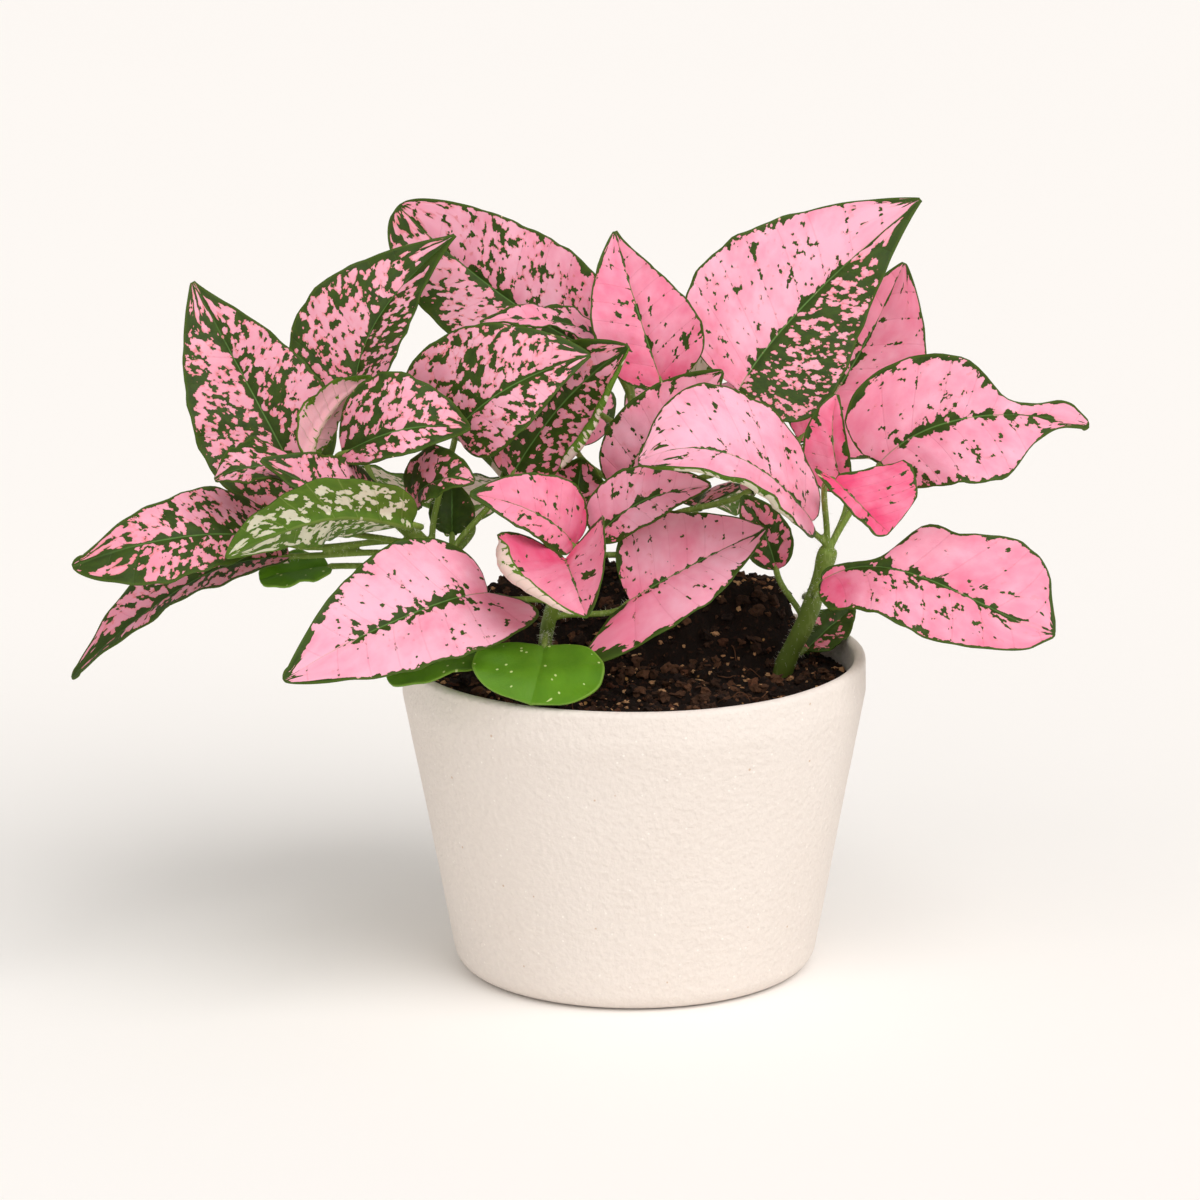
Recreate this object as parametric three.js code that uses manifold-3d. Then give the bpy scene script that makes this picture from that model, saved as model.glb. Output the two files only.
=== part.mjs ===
// A potted plant with broad variegated leaves, in millimetres, +Z up.
// The origin is the centre of the pot's flat underside. The fuller side of the plant looks to -Y.
import * as THREE from "three";
import { mergeVertices } from "three/addons/utils/BufferGeometryUtils.js";
import Module from "manifold-3d";

const wasm = await Module();
wasm.setup();

// Pot
const POT_HEIGHT = 76;
const RIM_RADIUS = 55;
const FOOT_RADIUS = 42.5;
const FOOT_ROUNDING = 5.5;
const WALL_LEAN = THREE.MathUtils.degToRad(10.5);
const WALL = 2.8;
const FLOOR = 5;
const POT_SEGMENTS = 44;

// Soil
const SOIL_LEVEL = 69;
const SOIL_CROWN = 1.6;
const SOIL_RELIEF = 1.1;
const CLOD_RELIEF = 0.9;
const BANK_HEIGHT = 18;
const CLEARANCE = 0.3;

// Plant
const BLADE_THICKNESS = 0.7;
const STATION_LENGTH = 7;
const BLADE_COLUMNS = 4;
const STEM_SIDES = 8;
const PETIOLE_SIDES = 5;
const PETIOLE_RADIUS = 0.9;
const PETIOLE_GAP = 0.6;
const EAR_GAP = 1.9;

// Stems: centre line from inside the soil upwards, and the radius at its two ends.
const STEMS = {
  left: { line: [[-34, 10, 56], [-38, 8, 80], [-48, 2, 100], [-60, -4, 114]], radius: [2.2, 1.6] },
  back: { line: [[12, 28, 56], [10, 29, 90], [2, 24, 115], [0, 16, 132]], radius: [2.4, 1.6] },
  right: { line: [[33, 6, 56], [36, 3, 72], [41, 0, 84], [46, -4, 102]], radius: [2.6, 1.8] },
  front: { line: [[-21, -8, 56], [-21, -16, 82], [-18, -22, 96], [-14, -22, 104]], radius: [2.0, 1.3] },
};

// Leaves. rib: the midrib from base to tip, at equal steps. face: where the upper side looks, from
// base to tip. half: widest half widths left and right of the rib, seen from above with the tip
// ahead. outline: how the blade widens from its base and narrows to its tip, for both halves or for
// each. fold and curl: the angle at which each half leaves the rib and what it turns by on its way to
// the margin. lobe: how far each half reaches back past the base as a round ear. lift: how far the margin
// turns up midway. widths: for a wavy leaf, both half widths at even steps from base to tip, in place
// of half and outline. stem and at: where the stalk starts.
const LEAVES = {
  leaf_left_tall: {
    rib: [[-78, 1, 116], [-91, 8.5, 140], [-104, 16, 163]], face: [[0.3, -0.95, 0.2]], half: [18, 15],
    outline: [0.4, 0.95, 0.55, 1.2], lobe: [2, 0], stem: "left", at: 0.95,
  },
  leaf_left_upright: {
    rib: [[-66, 10, 136], [-60, 17, 154], [-42, 26, 172]], face: [[-0.3, -0.95, 0.3]], half: [17.5, 13],
    outline: [0.55, 1.2], fold: [10, 35], stem: "left", at: 0.85,
  },
  leaf_left_curled: {
    rib: [[-68, -14, 128], [-53, -20, 135], [-38, -14, 134]], face: [[0, -0.8, 0.6]], half: [14, 6.5],
    stem: "left", at: 1,
  },
  leaf_left_flap: {
    rib: [[-76, -14, 127], [-71, -8, 137], [-61, -8, 145]], face: [[-0.4, 0.8, 0.4]], half: [6, 6],
    stem: "left", at: 0.98,
  },
  leaf_left_small: {
    rib: [[-78, -16, 125], [-88, -22, 127], [-97, -24, 124]], face: [[0, -0.4, 0.9]], half: [8, 8],
    stem: "left", at: 0.96,
  },
  leaf_left_inner: {
    rib: [[-54, -14, 112.5], [-70, -26, 121], [-86, -29, 130]], face: [[0, -0.6, 0.8]], half: [4.5, 11],
    outline: [0.45, 0.9], stem: "left", at: 0.9,
  },
  leaf_left_underside: {
    rib: [[-52, -26, 114], [-72, -37, 118], [-94, -34, 108]], face: [[0, 0.75, 0.6]], half: [11, 13],
    stem: "left", at: 0.8,
  },
  leaf_left_blunt: {
    rib: [[-52, -10, 115], [-46, -16, 122], [-37, -18, 122]], face: [[0, -0.7, 0.7]], half: [8.5, 5],
    stem: "left", at: 0.75,
  },
  leaf_left_long: {
    rib: [[-81, -12, 106], [-103, -24, 111], [-130, -30, 105]], face: [[-0.1, -0.6, 0.8]],
    half: [10.6, 12.5], outline: [1.3, 0.75, 0.55, 1.05], fold: [-12, 8], stem: "left", at: 0.7,
  },
  leaf_left_low: {
    rib: [[-81, -8, 102], [-106, -9, 95], [-133, -6, 72]], face: [[-0.5, -0.45, 0.75]], half: [6, 12],
    stem: "left", at: 0.6,
  },
  leaf_left_tucked: {
    rib: [[-71, -18, 111], [-82, -25, 113], [-92, -28, 107]], face: [[0, -0.5, 0.85]], half: [7, 7],
    stem: "left", at: 0.65,
  },
  seed_leaf_left: {
    rib: [[-72, -2, 98], [-80, -6, 98], [-88, -8, 96]], face: [[0, -0.5, 0.85]], half: [5, 5],
    outline: [0.45, 0.45], stem: "left", at: 0.5,
  },
  leaf_left_dark: {
    rib: [[-43, 5, 104], [-43, 7, 110], [-43, 9, 116]], face: [[0, -1, 0.1]], half: [5, 5],
    stem: "left", at: 0.55,
  },
  leaf_top_broad: {
    rib: [[-9, 20, 145], [-32, 32, 157], [-56, 38, 177]], face: [[0.15, -1, 0.3], [0, -1, 0.2]],
    half: [15, 17.5], outline: [0.5, 0.5, 0.35, 0.6], stem: "back", at: 1,
  },
  leaf_top_small: {
    rib: [[7, 4, 140], [1, 7, 158], [-4, 14, 175]], face: [[0, -1, 0.3]], half: [11.5, 13],
    outline: [0.55, 0.95, 0.5, 1.35], stem: "back", at: 0.9,
  },
  leaf_top_large: {
    rib: [[25, 8, 138], [41, 20, 156], [69, 32, 179]], face: [[0, -1, 0.3]], half: [24, 19],
    outline: [0.5, 0.95, 0.38, 1.15], lobe: [0, 4], stem: "back", at: 0.8,
  },
  leaf_mid_arched: {
    rib: [[-42, -4, 131], [-28, -9, 143], [-10, -4, 149]], face: [[0, -0.85, 0.5]], half: [18.5, 12],
    outline: [0.3, 0.9, 0.4, 1.1], lobe: [6, 0], stem: "left", at: 0.66,
  },
  leaf_mid_rolled: {
    rib: [[-29, -1, 119], [-16, 1, 137], [-1, -4, 151]], face: [[0, -0.95, 0.3]], half: [14, 15],
    fold: [10, 0], curl: [0, 70], stem: "left", at: 0.58,
  },
  leaf_mid_strip: {
    rib: [[-5, 16, 147], [-19, 12, 154], [-36, 10, 154]], face: [[0, -0.3, 0.95]], half: [6, 6],
    stem: "back", at: 0.95,
  },
  leaf_mid_shaded: {
    rib: [[-3, 4, 115], [6, 0, 131], [21, -4, 145]], face: [[0, -1, 0.2]], half: [9, 12], stem: "back",
    at: 0.5,
  },
  leaf_mid_low: {
    rib: [[-14, 4, 106], [-13, 2, 116], [-12, -2, 124]], face: [[0, -1, 0.2]], half: [9, 7],
    stem: "back", at: 0.4,
  },
  leaf_right_arched: {
    rib: [[42, -11, 110.5], [32, -24, 124], [18, -34, 133], [1, -34, 130]],
    face: [[0.12, -0.74, 0.62], [0, -0.55, 0.85]], half: [13.5, 18], lobe: [3, 2],
    widths: [[3, 6.5, 9.5, 12, 13, 12.5, 11, 8.5, 4], [3.6, 8.6, 12.4, 15.2, 17.2, 17.6, 15.5, 11, 4]],
    stem: "right", at: 0.98,
  },
  leaf_right_wide: {
    rib: [[58, -4, 123], [72, -8, 133], [89, -8, 135], [107, -2, 131]], face: [[0, -0.85, 0.5]],
    half: [16.5, 17], lobe: [3, 0], widths: [[10, 15.5, 17, 16, 12.5, 4, 2.6, 4, 2.5],
    [9, 12, 14.5, 16, 16.7, 15, 6.5, 1.5, 1]], stem: "right", at: 0.95,
  },
  leaf_right_low: {
    rib: [[44, -14, 97], [62, -16, 100], [80, -22, 93.5], [98, -25, 86.5]], face: [[0, -0.7, 0.7]],
    half: [18.5, 13.5], lobe: [0, 4], widths: [[2, 0.8, 2, 12, 12.6, 17, 17.5, 14, 8],
    [8, 11, 13.5, 15, 15.5, 15, 12, 7.5, 2.5]], stem: "right", at: 0.7,
  },
  leaf_right_cupped: {
    rib: [[46.7, -22, 123], [52.7, -27.5, 117.8], [58.8, -31, 112.2]], face: [[0.1, -0.8, 0.6]],
    half: [14, 3], lobe: [1, 6], widths: [[1, 4, 9.5, 13.5, 14.5, 13.9, 12.6, 10.8, 8],
    [1.5, 2, 2.5, 2.5, 2.5, 2.5, 2.5, 2.5, 2]], stem: "right", at: 0.92,
  },
  leaf_right_narrow: {
    rib: [[50, 3, 115], [47, 0, 127], [48, 2, 138]], face: [[0, -1, 0]], half: [7, 3], stem: "right",
    at: 0.97,
  },
  leaf_right_behind: {
    rib: [[40, 26, 122], [53, 38, 137], [66, 46, 161]], face: [[-0.1, -1, 0.2]], half: [12, 19.5],
    stem: "back", at: 0.6,
  },
  leaf_right_inner: {
    rib: [[34, 9, 94], [31, 11, 103], [26, 13, 111]], face: [[0, -0.9, 0.4]], half: [5.5, 5.5],
    stem: "right", at: 0.55,
  },
  leaf_right_soil: {
    rib: [[41, 10, 74], [47, 15, 78], [53, 20, 82]], face: [[0, -0.5, 0.85]], half: [5.5, 5.5],
    stem: "right", at: 0.35,
  },
  leaf_front_up_left: {
    rib: [[-14, -20, 107], [-22, -26, 116], [-38, -26, 121]], face: [[0.1, -0.8, 0.6]], half: [6, 10],
    stem: "front", at: 0.97,
  },
  leaf_front_up_right: {
    rib: [[-9, -16, 108], [2, -18, 117], [18, -14, 120]], face: [[-0.1, -0.8, 0.6]], half: [8.5, 6],
    stem: "front", at: 0.95,
  },
  leaf_front_cupped: {
    rib: [[-16, -32, 107], [-14, -42, 104], [-11, -52, 98]], face: [[-0.25, -0.35, 0.9]],
    half: [13, 22], outline: [0.5, 0.8], fold: [25, 8], curl: [20, 55], lobe: [0, 9], lift: [6, 0],
    stem: "front", at: 0.9,
  },
  leaf_front_large: {
    rib: [[-34, -28, 98], [-54, -44, 96], [-80, -58, 85]], face: [[-0.1, -0.75, 0.65]], half: [17, 17],
    outline: [0.5, 0.8, 0.45, 0.95], lobe: [11, 2], stem: "front", at: 0.75,
  },
  leaf_front_right: {
    rib: [[-1, -24, 95], [13, -20, 102], [31, -12, 109]], face: [[0, -0.75, 0.65]], half: [15, 12],
    outline: [0.5, 0.9, 0.35, 0.9], lobe: [0, 19], stem: "front", at: 0.65,
  },
  seed_leaf_front: {
    rib: [[-21, -36, 87], [-22, -43, 83], [-24, -50, 77]], face: [[0, -0.45, 0.9]], half: [15, 15],
    outline: [0.45, 0.35], stem: "front", at: 0.4,
  },
  seed_leaf_hidden: {
    rib: [[-32, -28, 84], [-45, -36, 84], [-57, -40, 80]], face: [[0, -0.5, 0.85]], half: [6, 6],
    outline: [0.45, 0.45], stem: "front", at: 0.35,
  },
  leaf_back_1: {
    rib: [[-30, 30, 112], [-48, 46, 122], [-70, 58, 118]], face: [[0, 0.5, 0.85]], half: [15, 15],
    stem: "back", at: 0.5,
  },
  leaf_back_2: {
    rib: [[-14, 38, 118], [-22, 58, 128], [-30, 80, 120]], face: [[0, 0.5, 0.85]], half: [16, 16],
    stem: "back", at: 0.6,
  },
  leaf_back_3: {
    rib: [[10, 38, 118], [16, 60, 126], [22, 82, 116]], face: [[0, 0.5, 0.85]], half: [16, 16],
    stem: "back", at: 0.65,
  },
  leaf_back_4: {
    rib: [[28, 32, 108], [48, 48, 114], [70, 62, 106]], face: [[0, 0.5, 0.85]], half: [15, 15],
    stem: "back", at: 0.55,
  },
  leaf_back_5: {
    rib: [[45, 30, 83], [58, 40, 81], [74, 46, 71]], face: [[0, 0.5, 0.85]], half: [10, 9],
    stem: "right", at: 0.65,
  },
  leaf_back_6: {
    rib: [[-40, 20, 104], [-62, 30, 108], [-88, 34, 100]], face: [[0, 0.5, 0.85]], half: [14, 14],
    stem: "left", at: 0.6,
  },
  leaf_back_7: {
    rib: [[-12, 32, 132], [-20, 44, 146], [-24, 60, 154]], face: [[0, 0.7, 0.7]], half: [13, 13],
    stem: "back", at: 0.85,
  },
  leaf_back_8: {
    rib: [[14, 34, 130], [24, 48, 142], [36, 62, 146]], face: [[0, 0.7, 0.7]], half: [13, 13],
    stem: "back", at: 0.8,
  },
  leaf_back_9: {
    rib: [[-18, 38, 102], [-32, 54, 102], [-46, 70, 88]], face: [[0, 0.5, 0.85]], half: [13, 13],
    stem: "back", at: 0.45,
  },
  leaf_back_10: {
    rib: [[16, 42, 102], [20, 58, 102], [26, 74, 92]], face: [[0, 0.5, 0.85]], half: [14, 14],
    stem: "back", at: 0.42,
  },
};
const LEAF_DEFAULTS = {
  outline: [0.55, 0.9],
  fold: [10, 10],
  curl: [0, 0],
  lobe: [0, 0],
  lift: [0, 0],
  wave: [0.7, 2.5, 0],
};

// A leaf's ear reaches furthest back at this share of its length.
const EAR_AT = 0.0476;

const v3 = (p) => new THREE.Vector3(...p);
const { smoothstep } = THREE.MathUtils;

// The midrib at s, a curve through its points at equal steps.
function ribPoint(points, s) {
  const out = new THREE.Vector3();
  const last = points.length - 1;
  points.forEach((p, i) => {
    let w = 1;
    for (let j = 0; j <= last; j++) {
      if (j !== i) w *= (s * last - j) / (i - j);
    }
    out.addScaledVector(v3(p), w);
  });
  return out;
}

// Tangent, upper side and right-hand side of the blade at s.
function ribFrame(leaf, s) {
  const step = 1e-3;
  const tangent = ribPoint(leaf.rib, s + step).sub(ribPoint(leaf.rib, s - step)).normalize();
  const first = v3(leaf.face[0]);
  const last = v3(leaf.face[leaf.face.length - 1]);
  const ease = s * s * (3 - 2 * s);
  const up = first.lerp(last, ease);
  up.addScaledVector(tangent, -up.dot(tangent)).normalize();
  return { tangent, up, side: new THREE.Vector3().crossVectors(tangent, up) };
}

// A smooth curve through evenly spaced values.
function through(values, s) {
  const last = values.length - 1;
  const i = Math.min(Math.floor(s * last), last - 1);
  const t = s * last - i;
  const a = values[Math.max(i - 1, 0)];
  const b = values[i];
  const c = values[i + 1];
  const d = values[Math.min(i + 2, last)];
  return b + 0.5 * t * (c - a + t * (2 * a - 5 * b + 4 * c - d + t * (3 * (b - c) + d - a)));
}

// How far the left (0) or the right (1) half reaches from the midrib.
function halfWidth(leaf, s, k) {
  if (leaf.widths) {
    const ends = Math.sqrt(Math.min(1, s / 0.05) * Math.min(1, (1 - s) / 0.08));
    return through(leaf.widths[k], s) * ends + 0.6;
  }
  const [a, b] = k ? leaf.outline.slice(-2) : leaf.outline;
  const widest = a / (a + b);
  return leaf.half[k] * (s / widest) ** a * ((1 - s) / (1 - widest)) ** b + 0.6;
}

// A point of the blade's middle surface: s runs from base to tip, u from the left margin (-1) to the
// right one (1).
function bladePoint(leaf, s, u) {
  const { tangent, up, side } = ribFrame(leaf, s);
  const k = u < 0 ? 0 : 1;
  const width = halfWidth(leaf, s, k);
  const fold = THREE.MathUtils.degToRad(leaf.fold[k]);
  const curl = THREE.MathUtils.degToRad(leaf.curl[k]) || 1e-3;
  const reach = Math.abs(u);
  const [swing, waves, phase] = leaf.wave;
  const across = (width * (Math.sin(fold + curl * reach) - Math.sin(fold))) / curl;
  const body = Math.sin(Math.PI * s);
  const ripple = swing * reach * reach * Math.sin(2 * Math.PI * (waves * s + phase + 0.37 * k)) * body;
  const turned = leaf.lift[k] * reach ** 4 * body * body;
  const rise = (width * (Math.cos(fold) - Math.cos(fold + curl * reach))) / curl + ripple + turned;
  const ear = ((s + 3e-4) / EAR_AT) ** 0.3 * ((1 - s) / (1 - EAR_AT)) ** 6;
  const back = leaf.lobe[k] * reach ** 1.5 * ear;
  return ribPoint(leaf.rib, s)
    .addScaledVector(side, Math.sign(u) * across)
    .addScaledVector(up, rise)
    .addScaledVector(tangent, -back);
}

// At its base the blade is as narrow as the stalk and stands square to it.
function bladeNormal(leaf, s, u) {
  if (s === 0) return ribFrame(leaf, 0).up.negate();
  const d = 0.01;
  const s0 = Math.max(s - d, 0);
  const s1 = Math.min(s + d, 1);
  const along = bladePoint(leaf, s1, u).sub(bladePoint(leaf, s0, u));
  const across = bladePoint(leaf, s, u + d).sub(bladePoint(leaf, s, u - d));
  return along.cross(across).normalize();
}

// A thin solid blade: an upper and a lower skin split into triangles alike, joined by a rim.
function bladeGeometry(leaf) {
  const columns = BLADE_COLUMNS;
  const length = ribPoint(leaf.rib, 0).distanceTo(ribPoint(leaf.rib, 1));
  const stations = leaf.widths ? 12 : THREE.MathUtils.clamp(Math.round(length / STATION_LENGTH), 6, 9);
  const place = (i, j, lower) => lower * (stations + 1) * (columns + 1) + i * (columns + 1) + j;
  const positions = [];
  for (const lower of [0, 1]) {
    const lift = (lower ? -0.5 : 0.5) * BLADE_THICKNESS;
    for (let i = 0; i <= stations; i++) {
      const t = i / stations;
      const s = t - 0.12 * Math.sin(2 * Math.PI * t);
      for (let j = 0; j <= columns; j++) {
        const u = (2 * j) / columns - 1;
        const p = bladePoint(leaf, s, u).addScaledVector(bladeNormal(leaf, s, u), lift);
        positions.push(p.x, p.y, p.z);
      }
    }
  }
  const faces = [];
  const quad = (a, b, c, d) => faces.push(a, b, c, a, c, d);
  for (let i = 0; i < stations; i++) {
    for (let j = 0; j < columns; j++) {
      quad(place(i, j, 0), place(i + 1, j, 0), place(i + 1, j + 1, 0), place(i, j + 1, 0));
      const [a, b, c, d] = [place(i, j, 1), place(i + 1, j, 1), place(i + 1, j + 1, 1), place(i, j + 1, 1)];
      faces.push(c, b, a, d, c, a);
    }
    quad(place(i, 0, 0), place(i, 0, 1), place(i + 1, 0, 1), place(i + 1, 0, 0));
    quad(place(i, columns, 1), place(i, columns, 0), place(i + 1, columns, 0), place(i + 1, columns, 1));
  }
  for (let j = 0; j < columns; j++) {
    quad(place(0, j, 1), place(0, j, 0), place(0, j + 1, 0), place(0, j + 1, 1));
    quad(place(stations, j, 0), place(stations, j, 1), place(stations, j + 1, 1), place(stations, j + 1, 0));
  }
  const g = new THREE.BufferGeometry();
  g.setAttribute("position", new THREE.Float32BufferAttribute(positions, 3));
  g.setIndex(faces);
  return g;
}

// A closed round rod along a curve, its radius running from one end to the other.
function rodGeometry(curve, radii, sides, steps) {
  const frames = curve.computeFrenetFrames(steps, false);
  const positions = [];
  for (let i = 0; i <= steps; i++) {
    const centre = curve.getPointAt(i / steps);
    const r = THREE.MathUtils.lerp(radii[0], radii[1], i / steps);
    for (let j = 0; j < sides; j++) {
      const a = (2 * Math.PI * j) / sides;
      const p = centre.clone();
      p.addScaledVector(frames.normals[i], r * Math.cos(a));
      p.addScaledVector(frames.binormals[i], r * Math.sin(a));
      positions.push(p.x, p.y, p.z);
    }
  }
  const ends = [curve.getPointAt(0), curve.getPointAt(1)];
  ends.forEach((p) => positions.push(p.x, p.y, p.z));
  const faces = [];
  const at = (i, j) => i * sides + (j % sides);
  const bottom = (steps + 1) * sides;
  for (let j = 0; j < sides; j++) {
    for (let i = 0; i < steps; i++) {
      faces.push(at(i, j), at(i, j + 1), at(i + 1, j + 1));
      faces.push(at(i, j), at(i + 1, j + 1), at(i + 1, j));
    }
    faces.push(bottom, at(0, j + 1), at(0, j));
    faces.push(bottom + 1, at(steps, j), at(steps, j + 1));
  }
  const g = new THREE.BufferGeometry();
  g.setAttribute("position", new THREE.Float32BufferAttribute(positions, 3));
  g.setIndex(faces);
  return g;
}

function toSolid(geometry) {
  const bare = new THREE.BufferGeometry();
  const source = geometry.index ? geometry.toNonIndexed() : geometry;
  bare.setAttribute("position", source.getAttribute("position"));
  const merged = mergeVertices(bare, 1e-3);
  const vertProperties = merged.attributes.position.array;
  const triVerts = new Uint32Array(merged.index.array);
  return new wasm.Manifold(new wasm.Mesh({ numProp: 3, vertProperties, triVerts }));
}

function toGeometry(solid) {
  const mesh = solid.getMesh();
  const g = new THREE.BufferGeometry();
  g.setAttribute("position", new THREE.Float32BufferAttribute(mesh.vertProperties, 3));
  g.setIndex([...mesh.triVerts]);
  return g;
}

// Turns a lathed shape, whose axis is Y, upright.
function lathe(profile, segments) {
  const points = profile.map(([r, z]) => new THREE.Vector2(r, z));
  return new THREE.LatheGeometry(points, segments).rotateX(Math.PI / 2);
}

// Points of an arc in the (radius, height) plane, angles in degrees from the outward direction.
function arc(r, z, radius, from, to, steps) {
  return Array.from({ length: steps + 1 }, (_, i) => {
    const a = THREE.MathUtils.degToRad(THREE.MathUtils.lerp(from, to, i / steps));
    return [r + radius * Math.cos(a), z + radius * Math.sin(a)];
  });
}

// The wall flares from the foot and stands upright just under the rim.
const outerRadius = (z) => Math.min(RIM_RADIUS, FOOT_RADIUS + z * Math.tan(WALL_LEAN));
const innerRadius = (z) => outerRadius(z) - WALL;
const INNER_FOOT = FLOOR + 6;
const WALL_TURN = 66;
const WALL_UPRIGHT = 69;

function potGeometry() {
  const lean = THREE.MathUtils.radToDeg(WALL_LEAN);
  const footCentre = FOOT_RADIUS - FOOT_ROUNDING * Math.tan(Math.PI / 4 - WALL_LEAN / 2);
  const lip = WALL / 2;
  const profile = [
    [0, 0],
    ...arc(footCentre, FOOT_ROUNDING, FOOT_ROUNDING, -90, -lean, 4),
    [outerRadius(WALL_TURN), WALL_TURN],
    [outerRadius(WALL_UPRIGHT), WALL_UPRIGHT],
    ...arc(RIM_RADIUS - lip, POT_HEIGHT - lip, lip, 0, 180, 4),
    [innerRadius(WALL_UPRIGHT), WALL_UPRIGHT],
    [innerRadius(WALL_TURN), WALL_TURN],
    [innerRadius(INNER_FOOT), INNER_FOOT],
    [innerRadius(INNER_FOOT) - 2, FLOOR + 1.6],
    [innerRadius(INNER_FOOT) - 6, FLOOR],
    [0, FLOOR],
  ];
  return lathe(profile, POT_SEGMENTS);
}

// The soil is banked up behind the stems, level with or above the rim, and lies lower in front.
function soilHeight(x, y) {
  const radius = innerRadius(SOIL_LEVEL) - CLEARANCE;
  const r = Math.hypot(x, y);
  const inside = Math.min(1, 4 * (1 - r / radius));
  const crown = SOIL_CROWN * (1 - (r / radius) ** 2);
  const bank = smoothstep(y, 2, 22) * (1 - smoothstep(r, 41, 50.5)) * (1 - smoothstep(Math.abs(x), 34, 47));
  const lumps = Math.sin(x * 0.31 + 1) * Math.cos(y * 0.27) + 0.6 * Math.sin(x * 0.13 - y * 0.41);
  const clods = Math.sin(x * 0.95 + 0.8 * Math.sin(y * 0.5)) * Math.sin(y * 0.9 + 1.7);
  return SOIL_LEVEL + crown + BANK_HEIGHT * bank + (SOIL_RELIEF * lumps + CLOD_RELIEF * clods) * inside;
}

function soilSolid(stemCurves) {
  const top = SOIL_LEVEL;
  const rings = 20;
  const edge = innerRadius(top) - CLEARANCE;
  const low = FLOOR + CLEARANCE;
  const profile = [
    [0, low],
    [innerRadius(INNER_FOOT) - 6.2, low],
    [innerRadius(INNER_FOOT) - 2 - CLEARANCE, FLOOR + 1.6 + CLEARANCE],
    [innerRadius(INNER_FOOT) - CLEARANCE, INNER_FOOT],
    [innerRadius(WALL_TURN) - CLEARANCE, WALL_TURN],
  ];
  for (let i = rings; i >= 0; i--) profile.push([(edge * i) / rings, top]);
  const g = lathe(profile, 60);
  const p = g.getAttribute("position");
  for (let i = 0; i < p.count; i++) {
    if (p.getZ(i) > top - 0.01) p.setZ(i, soilHeight(p.getX(i), p.getY(i)));
  }
  let solid = toSolid(g);
  for (const { curve, radius } of stemCurves) {
    solid = solid.subtract(toSolid(rodGeometry(curve, [radius + CLEARANCE, radius + CLEARANCE], 10, 12)));
  }
  return solid;
}

const COLOURS = { pot: "#e9dfd3", soil: "#3a2a20", stem: "#7f9a4c", leaf: "#e89aa6", seedLeaf: "#6aa828" };

const plant = new THREE.Group();
function addMesh(name, geometry, color, roughness) {
  geometry.computeVertexNormals();
  const mesh = new THREE.Mesh(geometry, new THREE.MeshStandardMaterial({ color, roughness, metalness: 0 }));
  mesh.name = name;
  plant.add(mesh);
}

const leaves = Object.fromEntries(
  Object.entries(LEAVES).map(([name, leaf]) => [name, { ...LEAF_DEFAULTS, ...leaf }]),
);
const stemCurves = Object.fromEntries(
  Object.entries(STEMS).map(([name, { line }]) => [name, new THREE.CatmullRomCurve3(line.map(v3))]),
);

// The stalk of a leaf leaves its stem upwards and meets the blade along its midrib, or from below where
// an ear reaches back over it.
function petioleCurve(leaf) {
  const stem = stemCurves[leaf.stem];
  const start = stem.getPointAt(leaf.at);
  const eared = Math.max(...leaf.lobe) > 0;
  const { tangent, up } = ribFrame(leaf, 0);
  if (eared) tangent.add(up).normalize();
  const end = ribPoint(leaf.rib, 0).addScaledVector(tangent, eared ? -EAR_GAP : -PETIOLE_GAP);
  const reach = start.distanceTo(end);
  const rise = stem.getTangentAt(leaf.at).multiplyScalar(0.3 * reach).add(start);
  const meet = end.clone().addScaledVector(tangent, -0.35 * reach);
  return new THREE.CubicBezierCurve3(start, rise, meet, end);
}

addMesh("pot", potGeometry(), COLOURS.pot, 0.85);
const buried = Object.entries(STEMS).map(([name, { radius }]) => ({
  curve: stemCurves[name],
  radius: radius[0],
}));
addMesh("soil", toGeometry(soilSolid(buried)), COLOURS.soil, 0.95);
for (const [name, { radius }] of Object.entries(STEMS)) {
  let solid = toSolid(rodGeometry(stemCurves[name], radius, STEM_SIDES, 8));
  for (const leaf of Object.values(leaves)) {
    if (leaf.stem !== name) continue;
    const stalk = rodGeometry(petioleCurve(leaf), [PETIOLE_RADIUS * 1.2, PETIOLE_RADIUS], PETIOLE_SIDES, 4);
    solid = solid.add(toSolid(stalk));
  }
  addMesh("stem_" + name, toGeometry(solid), COLOURS.stem, 0.6);
}
for (const [name, leaf] of Object.entries(leaves)) {
  const color = name.startsWith("seed") ? COLOURS.seedLeaf : COLOURS.leaf;
  addMesh(name, bladeGeometry(leaf), color, 0.55);
}

export default plant;
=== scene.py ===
"""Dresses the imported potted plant: fine leaves, stems, soil and pot round the fixed frame.

The scene is in metres, with +Z up and +Y away from the camera. The tables below are in millimetres.
"""

import math
import random
from statistics import NormalDist

import bmesh
import bpy
import numpy as np
from mathutils import Matrix, Vector, noise


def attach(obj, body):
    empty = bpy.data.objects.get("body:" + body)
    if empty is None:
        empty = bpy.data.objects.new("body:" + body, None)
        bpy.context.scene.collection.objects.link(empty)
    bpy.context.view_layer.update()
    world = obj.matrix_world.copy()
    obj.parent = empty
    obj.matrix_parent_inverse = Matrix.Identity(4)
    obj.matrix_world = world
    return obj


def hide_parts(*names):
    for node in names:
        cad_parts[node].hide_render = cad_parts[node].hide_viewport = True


SEED = 11
MM = 0.001
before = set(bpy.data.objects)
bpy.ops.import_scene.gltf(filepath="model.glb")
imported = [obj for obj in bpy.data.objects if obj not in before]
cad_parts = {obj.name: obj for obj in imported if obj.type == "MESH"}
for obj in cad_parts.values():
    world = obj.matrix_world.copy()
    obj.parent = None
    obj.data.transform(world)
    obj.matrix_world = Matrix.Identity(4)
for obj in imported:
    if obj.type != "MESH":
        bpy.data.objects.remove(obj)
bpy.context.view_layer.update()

# ---------------- tables

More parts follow.
